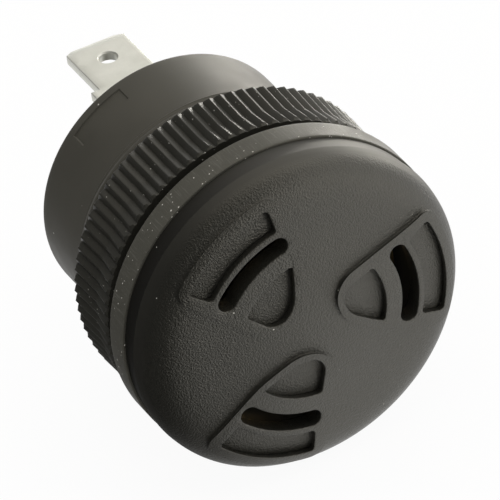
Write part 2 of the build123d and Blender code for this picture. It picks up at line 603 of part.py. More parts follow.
def main():
    nodes = {
        "front_cover": make_cover(),
        "housing": make_housing(),
        "panel_gasket": tube(GASKET_R, STEM_R + GASKET_BORE_CLEARANCE, SKIRT_END_Y, 0),
        "ring_nut": make_nut(),
        "sounder_disc": rod(DISC_R, DISC_FRONT_Y, DISC_REAR_Y),
        "ceramic_disc": rod(CERAMIC_R, DISC_REAR_Y, CERAMIC_REAR_Y),
        "electrode_film": rod(ELECTRODE_R, CERAMIC_REAR_Y, ELECTRODE_REAR_Y),
        "disc_support_ring": make_support(),
        "disc_adhesive": make_bead(),
        "circuit_board": make_board(),
        "driver_chip": make_driver(),
        "driver_chip_legs": driver_legs(),
        "transistor": on_board(TRANSISTOR_AT, TRANSISTOR_SIZE),
        "transistor_legs": transistor_legs(),
        "protection_diode": make_diode(),
        "chip_resistors": [on_board(at, RESISTOR_SIZE) for at in RESISTORS_AT],
        "chip_capacitors": [on_board(at, CHIP_CAPACITOR_SIZE) for at in CHIP_CAPACITORS_AT],
        "inductor_core": make_inductor_core(),
        "inductor_winding": make_winding(),
        "filter_capacitor": make_capacitor(),
        "capacitor_sleeve": make_sleeve(),
        "positive_blade": make_blade(1),
        "negative_blade": make_blade(-1),
        "board_solder": board_solder(),
        "disc_solder": disc_solder(),
        "disc_lead": make_lead(
            polar(DISC_LEAD_R, DISC_LEAD_ANGLE), DISC_REAR_Y, polar(DISC_LEAD_R, DISC_LEAD_BOARD_ANGLE)
        ),
        "ceramic_lead": make_lead(place(CERAMIC_LEAD_AT), ELECTRODE_REAR_Y, place(CERAMIC_LEAD_BOARD_AT)),
        "potting": make_potting(),
    }
    os.makedirs("parts", exist_ok=True)
    for name, shape in nodes.items():
        solids = []
        for piece in shape if isinstance(shape, list) else [shape]:
            solids += piece.solids()
        export_step(solids[0] if len(solids) == 1 else Compound(children=solids), f"parts/{name}.step")


if __name__ == "__main__":
    main()
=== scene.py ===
"""Dresses the panel-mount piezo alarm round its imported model.

Shapes are worked out in millimetres in the alarm's own frame: the axis is Y, the sounding face
looks along -Y, the terminal blades leave along +Y, +Z is up, and the origin is on the axis in the
plane of the panel. They become metres when a mesh is made.
"""

import logging
import math
from dataclasses import dataclass, field
from enum import Enum
from typing import Callable, ClassVar, Sequence

import bmesh
import bpy
import numpy as np
from mathutils import Matrix, Vector
from mathutils.geometry import delaunay_2d_cdt


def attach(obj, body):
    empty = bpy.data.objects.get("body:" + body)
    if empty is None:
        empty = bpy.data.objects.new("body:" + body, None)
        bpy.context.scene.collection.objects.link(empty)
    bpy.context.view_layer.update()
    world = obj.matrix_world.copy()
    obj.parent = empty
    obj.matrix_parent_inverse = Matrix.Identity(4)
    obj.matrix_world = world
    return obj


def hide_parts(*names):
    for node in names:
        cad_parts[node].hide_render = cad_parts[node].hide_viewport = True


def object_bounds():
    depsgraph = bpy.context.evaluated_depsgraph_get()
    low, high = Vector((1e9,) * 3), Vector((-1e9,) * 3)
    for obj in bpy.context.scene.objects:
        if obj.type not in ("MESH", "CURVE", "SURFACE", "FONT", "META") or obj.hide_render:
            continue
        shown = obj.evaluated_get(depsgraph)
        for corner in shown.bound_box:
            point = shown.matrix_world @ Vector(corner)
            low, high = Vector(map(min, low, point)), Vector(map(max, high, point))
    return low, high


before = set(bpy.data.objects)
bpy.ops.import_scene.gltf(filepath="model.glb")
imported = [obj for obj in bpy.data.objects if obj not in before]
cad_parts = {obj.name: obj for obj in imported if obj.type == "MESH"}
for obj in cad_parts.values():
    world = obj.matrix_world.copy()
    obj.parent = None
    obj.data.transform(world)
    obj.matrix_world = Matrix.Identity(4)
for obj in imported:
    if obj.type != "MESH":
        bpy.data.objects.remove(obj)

CAD_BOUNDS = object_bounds()
MM = 0.001
LOG = logging.getLogger("piezo_alarm")

WELD = 2e-4
WHITE = (1.0, 1.0, 1.0, 1.0)
FLOOR_WHITE = (0.86, 0.86, 0.86, 1.0)
DUST = (0.62, 0.60, 0.55, 1.0)
SCUFF = (0.35, 0.34, 0.31, 1.0)
SHEEN_TINT = (1.0, 0.965, 0.86, 1.0)
LAMP_TINT = (1.0, 0.96, 0.89)

Array = np.ndarray
Lift = Callable[[Array], Array]


# ---- outlines and shells ---------------------------------------------------------------------


def polar(radius: float | Array, degrees: float | Array) -> Array:
    """Returns the flat point, or points, at a radius and an angle about the origin."""
    angle = np.radians(degrees)
    return np.stack(np.broadcast_arrays(radius * np.cos(angle), radius * np.sin(angle)), axis=-1)


def smooth_step(share: Array) -> Array:
    """Returns 3s^2 - 2s^3, which eases from 0 to 1 as the share s does."""
    held = np.clip(share, 0.0, 1.0)
    return held * held * (3.0 - 2.0 * held)


@dataclass(frozen=True)
class Arc:
    """Stretch of an outline that turns about a centre, counterclockwise where it bulges.

    Attributes:
        centre: Middle of the arc, in millimetres.
        radius: Its radius.
        start: Angle at which it starts, in degrees.
        sweep: Angle that it turns by, negative where the outline is hollow.
    """

    centre: tuple[float, float]
    radius: float
    start: float
    sweep: float

    def points(self, grow: float, count: int) -> Array:
        """Works out centre + (radius +- grow) (cos a, sin a) for even angles a.

        Args:
            grow: How far outwards the outline is moved.
            count: Number of points, the two ends among them.

        Returns:
            The points, (count, 2).
        """
        reach = self.radius + math.copysign(grow, self.sweep)
        angles = self.start + self.sweep * np.linspace(0.0, 1.0, count)
        return np.asarray(self.centre) + polar(reach, angles)


@dataclass(frozen=True)
class Outline:
    """Closed outline of arcs, each joined to the next by a straight line.

    Attributes:
        arcs: The arcs in counterclockwise order.
        pitch: Spacing of the points along it, in millimetres.
    """

    arcs: tuple[Arc, ...]
    pitch: float = 0.12

    def ring(self, grow: float = 0.0, turn: float = 0.0) -> Array:
        """Works out the outline's points: its arcs, and even steps a + s (b - a) between them.

        Args:
            grow: How far outwards each point is moved along the outline's normal.
            turn: Angle by which the outline is turned about the origin, in degrees.

        Returns:
            The points, as many of them for every value of grow, (n, 2).
        """
        stretches = []
        for arc, after in zip(self.arcs, self.arcs[1:] + self.arcs[:1]):
            length = abs(math.radians(arc.sweep)) * arc.radius
            bend = arc.points(grow, max(5, math.ceil(length / self.pitch) + 1))
            start, end = arc.points(0.0, 2)[-1], after.points(0.0, 2)[0]
            gap = float(np.hypot(*(end - start)))
            stretches.append(bend)
            if gap > 1e-6:
                steps = max(1, round(gap / self.pitch))
                shares = (np.arange(1, steps) / steps)[:, None]
                stretches.append(bend[-1] + shares * (after.points(grow, 2)[0] - bend[-1]))
            else:
                stretches[-1] = bend[:-1]
        flat = np.concatenate(stretches)
        return flat @ polar(1.0, np.array([turn, turn + 90.0]))


def circle(radius: float, count: int) -> Array:
    """Returns count points round the origin."""
    return polar(radius, np.arange(count) * 360.0 / count)


def quarter_round(radius: float, count: int) -> Array:
    """Returns count rows r (1 - sin a), r (1 - cos a), an eased edge from a side to a top."""
    bend = np.radians(np.linspace(0.0, 90.0, count))
    return radius * (1.0 - np.stack([np.sin(bend), np.cos(bend)], axis=-1))


def spread(rings: Sequence[tuple[float, float]]) -> Array:
    """Places points on rings round the origin, each ring shifted by half a step from the last.

    Args:
        rings: (radius, spacing) of each ring.

    Returns:
        The points, (n, 2).
    """
    placed = []
    for k, (radius, pitch) in enumerate(rings):
        count = max(6, round(2 * math.pi * radius / pitch))
        placed.append(polar(radius, (np.arange(count) + 0.5 * (k % 2)) * 360.0 / count))
    return np.concatenate(placed)


def inside(points: Array, ring: Array) -> Array:
    """Tells which points lie in a closed ring, by counting the edges to the right of each.

    Args:
        points: The points, (n, 2).
        ring: The ring, (m, 2).

    Returns:
        A truth value for each point.
    """
    x, y = points[:, 0, None], points[:, 1, None]
    start, end = ring, np.roll(ring, -1, axis=0)
    spans = (start[:, 1] > y) != (end[:, 1] > y)
    rise = np.where(end[:, 1] == start[:, 1], 1.0, end[:, 1] - start[:, 1])
    crossing = start[:, 0] + (y - start[:, 1]) * (end[:, 0] - start[:, 0]) / rise
    return (spans & (x < crossing)).sum(axis=1) % 2 == 1


def clear_of(points: Array, rings: Sequence[Array], gap: float) -> Array:
    """Tells which points keep clear of some rings.

    Args:
        points: The points, (n, 2).
        rings: The rings, each (m, 2).
        gap: Least distance to any point of a ring.

    Returns:
        A truth value for each point.
    """
    edge = np.concatenate(rings)
    nearest = np.full(len(points), np.inf)
    for part in np.array_split(edge, max(1, len(edge) // 400)):
        away = np.hypot(points[:, 0, None] - part[:, 0], points[:, 1, None] - part[:, 1])
        nearest = np.minimum(nearest, away.min(axis=1))
    return nearest >= gap


class Shell:
    """Collects patches in millimetres and joins them into one closed mesh."""

    def __init__(self) -> None:
        """Starts with no patch."""
        self._points: list[Array] = []
        self._faces: list[list[int]] = []
        self._count = 0

    def add(self, points: Array, faces: Array) -> None:
        """Adds one patch.

        Args:
            points: Its points, (n, 3).
            faces: Its faces, as rows of indices into the points.
        """
        self._points.append(points)
        self._faces.extend((faces + self._count).tolist())
        self._count += len(points)

    def grid(self, points: Array, closed: bool = True) -> None:
        """Adds a sheet of quads.

        Args:
            points: Rows of columns of points, (rows, columns, 3).
            closed: Whether the last column joins the first.
        """
        rows, columns = points.shape[:2]
        index = np.arange(rows * columns).reshape(rows, columns)
        after = np.roll(index, -1, axis=1)
        if not closed:
            index, after = index[:, :-1], after[:, :-1]
        quads = np.stack([index[:-1], after[:-1], after[1:], index[1:]], axis=-1)
        self.add(points.reshape(-1, 3), quads.reshape(-1, 4))

    def region(self, outer: Array, holes: Sequence[Array], seeds: Array, lift: Lift) -> None:
        """Adds the flat region between rings as triangles, carried to its surface by lift(x, z).

        Args:
            outer: The ring round the region, (n, 2).
            holes: Rings of the openings in it.
            seeds: Points wanted inside it, so that the surface can curve.
            lift: Turns flat points (n, 2) into points of the surface (n, 3).
        """
        rings = [outer, *holes]
        keep = inside(seeds, outer)
        for hole in holes:
            keep &= ~inside(seeds, hole)
        flat = np.concatenate([*rings, seeds[keep]])
        edges, first = [], 0
        for ring in rings:
            index = np.arange(len(ring))
            edges.extend(np.stack([index, np.roll(index, -1)], axis=1) + first)
            first += len(ring)
        corners = [Vector(point) for point in flat.tolist()]
        spots, _, faces, *_ = delaunay_2d_cdt(corners, [tuple(e) for e in edges], [], 0, 1e-7)
        spots, faces = np.array(spots), np.array(faces)
        middles = spots[faces].mean(axis=1)
        keep = inside(middles, outer)
        for hole in holes:
            keep &= ~inside(middles, hole)
        self.add(lift(spots), faces[keep])

    def piece(self, name: str, crease: float = 32.0) -> bpy.types.Object:
        """Joins the patches into one object.

        Args:
            name: Name of the object.
            crease: Angle past which an edge stays sharp, in degrees.

        Returns:
            The object, with every seam closed and every face outwards.
        """
        mesh = bpy.data.meshes.new(name)
        mesh.from_pydata((np.concatenate(self._points) * MM).tolist(), [], self._faces)
        body = bmesh.new()
        body.from_mesh(mesh)
        bmesh.ops.remove_doubles(body, verts=body.verts, dist=WELD * MM)
        bmesh.ops.recalc_face_normals(body, faces=body.faces)
        body.to_mesh(mesh)
        body.free()
        mesh.shade_smooth()
        mesh.set_sharp_from_angle(angle=math.radians(crease))
        made = bpy.data.objects.new(name, mesh)
        bpy.context.scene.collection.objects.link(made)
        return made


def round_axis(radius: Array, y: Array, degrees: Array) -> Array:
    """Places rows of points round the axis.

    Args:
        radius: Radius of each point, (rows, columns).
        y: Station of each row.
        degrees: Angle of each column.

    Returns:
        Points (r cos a, y, r sin a), as (rows, columns, 3).
    """
    flat = radius[..., None] * polar(1.0, degrees)
    station = np.broadcast_to(y[:, None], radius.shape)
    return np.stack([flat[..., 0], station, flat[..., 1]], axis=-1)


def turned(profile: Array, count: int) -> Array:
    """Carries (radius, y) rows round the axis in count columns: (r cos a, y, r sin a)."""
    radius = np.repeat(profile[:, :1], count, axis=1)
    return round_axis(radius, profile[:, 1], np.arange(count) * 360.0 / count)


def rounded(corners: Sequence[tuple[float, float, float]], steps: int = 4) -> Array:
    """Rounds the corners of an open profile with quadratic curves.

    Args:
        corners: (radius, y, reach) of each corner, where reach is how far its curve goes along
            the runs on both sides, and 0 keeps it sharp.
        steps: Points in each curve.

    Returns:
        The profile as (rows, 2). A curve is (1-t)^2 a + 2t(1-t) corner + t^2 b.
    """
    spots = np.array([corner[:2] for corner in corners], dtype=float)
    rows = []
    for k, (_, _, reach) in enumerate(corners):
        if reach == 0.0 or k in (0, len(corners) - 1):
            rows.append(spots[k:k + 1])
            continue
        before, after = spots[k - 1] - spots[k], spots[k + 1] - spots[k]
        a = spots[k] + before * reach / np.hypot(*before)
        b = spots[k] + after * reach / np.hypot(*after)
        t = np.linspace(0.0, 1.0, steps + 1)[:, None]
        rows.append((1 - t) ** 2 * a + 2 * t * (1 - t) * spots[k] + t**2 * b)
    return np.concatenate(rows)


def split_runs(profile: Array, longest: float) -> Array:
    """Divides a profile's long runs.

    Args:
        profile: The profile, (rows, 2).
        longest: Longest run that is left whole.

    Returns:
        The profile with the added rows, each a + s (b - a) along its run.
    """
    rows = []
    for a, b in zip(profile[:-1], profile[1:]):
        steps = max(1, math.ceil(float(np.hypot(*(b - a))) / longest))
        rows.append(a + (b - a) * (np.arange(steps) / steps)[:, None])
    return np.concatenate([*rows, profile[-1:]])


# ---- finishes --------------------------------------------------------------------------------


class Bench:
    """Node tree, with short calls for the nodes that the finishes and the studio share."""

    def __init__(self, tree: bpy.types.NodeTree) -> None:
        """Takes up a tree."""
        self.tree = tree
        self.place = self.node("TexCoord").outputs["Object"]

    def node(self, kind: str, **settings: object) -> bpy.types.Node:
        """Adds a node.

        Args:
            kind: Its type, without the prefix that all shader nodes share.
            **settings: Values of its properties, or of sockets by their titles.

        Returns:
            The node.
        """
        made = self.tree.nodes.new(f"ShaderNode{kind}")
        for key, value in settings.items():
            socket = made.inputs.get(key.title())
            if socket is None:
                setattr(made, key, value)
            else:
                self.feed(socket, value)
        return made

    def feed(self, socket: bpy.types.NodeSocket, value: object) -> None:
        """Links a socket into another, or sets its plain value.

        Args:
            socket: The socket that is fed.
            value: The socket, number or colour that feeds it.
        """
        if isinstance(value, bpy.types.NodeSocket):
            self.tree.links.new(value, socket)
        else:
            socket.default_value = value

    def math(self, operation: str, *values: object, clamp: bool = False) -> bpy.types.NodeSocket:
        """Adds a sum on sockets or numbers.

        Args:
            operation: Name of the sum.
            *values: What it works on, in order.
            clamp: Whether the result is held to 0..1.

        Returns:
            The result.
        """
        made = self.node("Math", operation=operation, use_clamp=clamp)
        for socket, value in zip(made.inputs, values):
            self.feed(socket, value)
        return made.outputs[0]

    def ramp(self, value: object, low: float, high: float,
             out: tuple[float, float] = (0.0, 1.0)) -> bpy.types.NodeSocket:
        """Maps a range to another, held at both ends.

        Args:
            value: What is mapped.
            low: Start of its range.
            high: End of its range.
            out: The start and end that they become.

        Returns:
            The mapped value.
        """
        made = self.node("MapRange", clamp=True, value=value)
        for title, number in zip(("From Min", "From Max", "To Min", "To Max"), (low, high, *out)):
            made.inputs[title].default_value = number
        return made.outputs[0]

    def noise(self, per_mm: float, detail: float = 2.0, rough: float = 0.5,
              stretch: tuple[float, float, float] = (1.0, 1.0, 1.0)) -> bpy.types.NodeSocket:
        """Adds noise.

        Args:
            per_mm: About how many features fit in a millimetre.
            detail: Number of finer layers.
            rough: Weight of the finer layers.
            stretch: Scale along each axis; a small one draws the noise out.

        Returns:
            The noise, 0 to 1.
        """
        place = self.place
        if stretch != (1.0, 1.0, 1.0):
            place = self.node("Mapping", vector=place, scale=stretch).outputs[0]
        made = self.node(
            "TexNoise", vector=place, scale=per_mm / MM, detail=detail, roughness=rough
        )
        return made.outputs["Fac"]

    def cells(self, per_mm: float) -> bpy.types.NodeSocket:
        """Adds the distance to the nearest of scattered points, per_mm of them in a millimetre."""
        made = self.node("TexVoronoi", vector=self.place, scale=per_mm / MM)
        return made.outputs["Distance"]

    def mix(self, share: object, first: object, second: object) -> bpy.types.NodeSocket:
        """Mixes two colours.

        Args:
            share: Share of the second.
            first: The first colour.
            second: The second colour.

        Returns:
            first + share (second - first).
        """
        made = self.node("Mix", data_type="RGBA")
        sockets = (made.inputs[0], made.inputs[6], made.inputs[7])
        for socket, value in zip(sockets, (share, first, second)):
            self.feed(socket, value)
        return made.outputs[2]

    def bump(self, height: object, depth: float, under: object = None) -> bpy.types.NodeSocket:
        """Turns a height into relief.

        Args:
            height: The height, 0 to 1.
            depth: Depth of the relief, in millimetres.
            under: Relief that this one lies on.

        Returns:
            The normal.
        """
        made = self.node("Bump", height=height, distance=depth * MM, strength=1.0)
        if under is not None:
            self.feed(made.inputs["Normal"], under)
        return made.outputs[0]


class Surface(Bench):
    """Node tree of one material that has a surface shader and nothing on it yet."""

    def __init__(self, name: str) -> None:
        """Starts the material.

        Args:
            name: Its name.
        """
        self.material = bpy.data.materials.new(name)
        self.material.use_nodes = True
        super().__init__(self.material.node_tree)
        self.shader = self.tree.nodes["Principled BSDF"]

    def finished(self, settings: dict[str, object]) -> bpy.types.Material:
        """Feeds the surface shader.

        Args:
            settings: What goes into each of its sockets, by title.

        Returns:
            The material.
        """
        for title, value in settings.items():
            self.feed(self.shader.inputs[title], value)
        return self.material


def rgb(value: Sequence[float]) -> tuple[float, float, float, float]:
    """Adds an opaque alpha to a colour."""
    return (value[0], value[1], value[2], 1.0)


@dataclass(frozen=True)
class Moulding:
    """Moulded plastic or rubber: spark grain, uneven sheen, pale dust, and optional painted shade.

    Attributes:
        name: Name of the material.
        colour: Base colour.
        rough: Roughness, and how far the finish drifts either side of it.
        grain: Features in a millimetre of the mould's grain, and its depth in millimetres.
        dust: Share of the dust cells that show, 0 for none.
        specks: Dust cells in a millimetre.
        specular: Specular level.
        scuff: Strength of fine streaks along the axis.
        painted_shade_from: Station along the axis behind which shade is painted into the colour.
        rim_zone: How far in front of that station the grain starts to fade, and is gone.
        rim_rough: Roughness where the grain is gone.
        patch_shade: Share of the colour that the darker patches have.
        painted_shade_share: Share of the colour that is left behind the station, as painted shade.
    """

    name: str
    colour: tuple[float, float, float]
    rough: tuple[float, float] = (0.45, 0.05)
    grain: tuple[float, float] = (6.0, 0.006)
    dust: float = 0.0
    specks: float = 1.6
    specular: float = 0.5
    scuff: float = 0.0
    painted_shade_from: float | None = None
    rim_zone: tuple[float, float] = (1.5, 0.7)
    rim_rough: float = 0.56
    patch_shade: float = 0.88
    painted_shade_share: float = 0.15

    def _shaded(self, share: float) -> tuple[float, float, float, float]:
        """Returns a share of the base colour."""
        return rgb([share * part for part in self.colour])

    def material(self) -> bpy.types.Material:
        """Builds the node material.

        Returns:
            The material.
        """
        bench = Surface(self.name)
        grain = bench.noise(self.grain[0], 3.0, 0.55)
        drift = bench.noise(0.25, 2.0)
        level, sway = self.rough
        sheen = bench.ramp(drift, 0.35, 0.65, (level - sway, level + sway))
        tint = bench.ramp(drift, 0.3, 0.7)
        colour = bench.mix(tint, self._shaded(self.patch_shade), rgb(self.colour))
        if self.scuff > 0.0:
            streaks = bench.noise(9.0, 2.0, 0.6, (1.0, 0.06, 1.0))
            mark = bench.ramp(streaks, 0.55, 0.8, (0.0, self.scuff))
            colour = bench.mix(mark, colour, SCUFF)
        if self.painted_shade_from is not None:
            along = bench.node("SeparateXYZ", vector=bench.place).outputs["Y"]
            # Painted shade: behind painted_shade_from the colour falls to a painted_shade_share
            # share of its base.
            behind = bench.ramp(along, (self.painted_shade_from - 0.05) * MM, self.painted_shade_from * MM)
            rim = bench.ramp(along, *((self.painted_shade_from - reach) * MM for reach in self.rim_zone))
            colour = bench.mix(behind, colour, self._shaded(self.painted_shade_share))
            sheen = bench.ramp(rim, 0.0, 1.0, (level, self.rim_rough))
            grain = bench.math("MULTIPLY", grain, bench.math("SUBTRACT", 1.0, rim))
        relief = bench.bump(grain, self.grain[1])
        if self.dust > 0.0:
            near = bench.cells(self.specks)
            patchy = bench.noise(0.7, 2.0)
            size = bench.math("MULTIPLY", bench.ramp(patchy, 0.35, 0.75), self.dust)
            speck = bench.math("LESS_THAN", near, size)
            colour = bench.mix(bench.math("MULTIPLY", speck, 0.75), colour, DUST)
            relief = bench.bump(speck, 0.01, relief)
        return bench.finished({
            "Base Color": colour, "Normal": relief, "Roughness": sheen,
            "Specular IOR Level": self.specular, "Specular Tint": SHEEN_TINT,
        })


@dataclass(frozen=True)
class Metal:
    """Sheet, plated or fired metal with fine relief and a little tarnish.

    Attributes:
        name: Name of the material.
        colour: Base colour.
        tarnish: Colour that it drifts to.
        rough: Roughness, and how far it drifts.
        metallic: How metallic the shader is.
        grain: Features in a millimetre, and depth in millimetres.
        stretch: How the grain is drawn out along each axis.
    """

    name: str
    colour: tuple[float, float, float]
    tarnish: tuple[float, float, float]
    rough: tuple[float, float] = (0.35, 0.08)
    metallic: float = 1.0
    grain: tuple[float, float] = (5.0, 0.003)
    stretch: tuple[float, float, float] = (1.0, 1.0, 1.0)

    def material(self) -> bpy.types.Material:
        """Builds the node material.

        Returns:
            The material.
        """
        bench = Surface(self.name)
        grain = bench.noise(self.grain[0], 3.0, 0.6, self.stretch)
        cloud = bench.ramp(bench.noise(0.6, 3.0), 0.35, 0.7)
        colour = bench.mix(cloud, rgb(self.colour), rgb(self.tarnish))
        level, sway = self.rough
        sheen = bench.ramp(grain, 0.3, 0.7, (level - sway, level + sway))
        return bench.finished({
            "Base Color": colour, "Roughness": sheen, "Metallic": self.metallic,
            "Normal": bench.bump(grain, self.grain[1]),
        })


# The skirt band between the rim and the gasket, behind y = -3.66, has painted shade in its colour.
COVER = Moulding("cover_plastic", (0.0135, 0.0133, 0.0107), (0.34, 0.04), (7.0, 0.08),
                 dust=0.06, specks=0.5, specular=1.0, painted_shade_from=-3.66)
HOUSING = Moulding("housing_plastic", (0.056, 0.053, 0.043), (0.50, 0.05), (9.0, 0.003),
                   dust=0.06, specks=0.6)
NUT = Moulding("nut_plastic", (0.026, 0.0253, 0.0208), (0.42, 0.06), (7.0, 0.004),
               dust=0.12, specks=2.2)
GASKET = Moulding("gasket_rubber", (0.062, 0.060, 0.049), (0.50, 0.07), (8.0, 0.015),
                  dust=0.20, specks=2.4, scuff=0.16)
RESIN = Moulding("resin", (0.016, 0.016, 0.017), (0.18, 0.05), (1.2, 0.010))
SUPPORT = Moulding("support_plastic", (0.030, 0.030, 0.031))
SILICONE = Moulding("silicone", (0.72, 0.73, 0.72), (0.35, 0.05), (1.5, 0.010))
CHIP_EPOXY = Moulding("chip_epoxy", (0.022, 0.022, 0.024), (0.55, 0.05), (12.0, 0.004))
BOARD = Moulding("board_laminate", (0.030, 0.140, 0.055), (0.30, 0.04), (3.0, 0.003))
CERAMIC = Moulding("ceramic", (0.62, 0.57, 0.44), (0.60, 0.05), (10.0, 0.003))
FERRITE = Moulding("ferrite", (0.075, 0.075, 0.080), (0.62, 0.05), (9.0, 0.006))
RESISTOR = Moulding("resistor_body", (0.030, 0.030, 0.034), (0.25, 0.04), (6.0, 0.002))
CHIP_CAPACITOR = Moulding("capacitor_ceramic", (0.42, 0.29, 0.18), (0.40, 0.05), (8.0, 0.002))
SLEEVE = Moulding("sleeve_film", (0.030, 0.038, 0.130), (0.22, 0.03), (2.0, 0.003))
RED_WIRE = Moulding("red_insulation", (0.42, 0.020, 0.016), (0.30, 0.03), (3.0, 0.003))
BLACK_WIRE = Moulding("black_insulation", (0.020, 0.020, 0.020), (0.30, 0.03), (3.0, 0.003))
TIN = Metal("blade_tin", (0.80, 0.80, 0.73), (0.72, 0.72, 0.65), (0.42, 0.06), 0.75, (6.0, 0.004))
TINNED = Metal("tinned_metal", (0.72, 0.72, 0.71), (0.60, 0.60, 0.58), (0.30, 0.06))
SOLDER = Metal("solder", (0.68, 0.68, 0.68), (0.55, 0.55, 0.54), (0.26, 0.08), 1.0, (2.5, 0.010))
BRASS = Metal("brass", (0.40, 0.29, 0.14), (0.28, 0.20, 0.10), (0.34, 0.06), 1.0,
              (8.0, 0.002), (1.0, 1.0, 0.1))
SILVER = Metal("silver_film", (0.78, 0.77, 0.73), (0.62, 0.60, 0.54), (0.45, 0.06), 0.9,
               (9.0, 0.003))
COPPER = Metal("enamelled_copper", (0.55, 0.22, 0.09), (0.40, 0.15, 0.06), (0.28, 0.05), 1.0,
               (8.0, 0.02), (0.2, 1.0, 0.2))
CAN = Metal("can_aluminium", (0.76, 0.76, 0.77), (0.66, 0.66, 0.67), (0.28, 0.05), 1.0,
            (5.0, 0.003), (1.0, 0.1, 1.0))

CAD_FINISHES: dict[str, Moulding | Metal] = {
    "sounder_disc": BRASS, "ceramic_disc": CERAMIC, "electrode_film": SILVER,
    "disc_support_ring": SUPPORT, "disc_adhesive": SILICONE, "circuit_board": BOARD,
    "driver_chip": CHIP_EPOXY, "driver_chip_legs": TINNED, "transistor": CHIP_EPOXY,
    "transistor_legs": TINNED, "protection_diode": CHIP_EPOXY, "chip_resistors": RESISTOR,
    "chip_capacitors": CHIP_CAPACITOR, "inductor_core": FERRITE, "inductor_winding": COPPER,
    "filter_capacitor": CAN, "capacitor_sleeve": SLEEVE, "board_solder": SOLDER,
    "disc_solder": SOLDER, "disc_lead": BLACK_WIRE, "ceramic_lead": RED_WIRE,
}


class Piece:
    """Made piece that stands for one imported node.

    Attributes:
        finish: What it is made of.
        node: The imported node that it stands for.
        body: The moving body that it rides on.
    """

    finish: ClassVar[Moulding | Metal]
    node: ClassVar[str]
    body: ClassVar[str] = "alarm"

    def build(self) -> bpy.types.Object:
        """Builds the mesh, as each piece does in its own way."""
        raise NotImplementedError

    def dress(self, piece: bpy.types.Object) -> None:
        """Gives the built mesh its finish and its place in the frame.

        Args:
            piece: The object that build made.
        """
        piece.data.materials.append(self.finish.material())
        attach(piece, self.body)
        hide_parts(self.node)
        faces = len(piece.data.polygons)
        LOG.info("%s: %d faces of %s, on %s", piece.name, faces, self.finish.name, self.body)


# ---- front cover -----------------------------------------------------------------------------


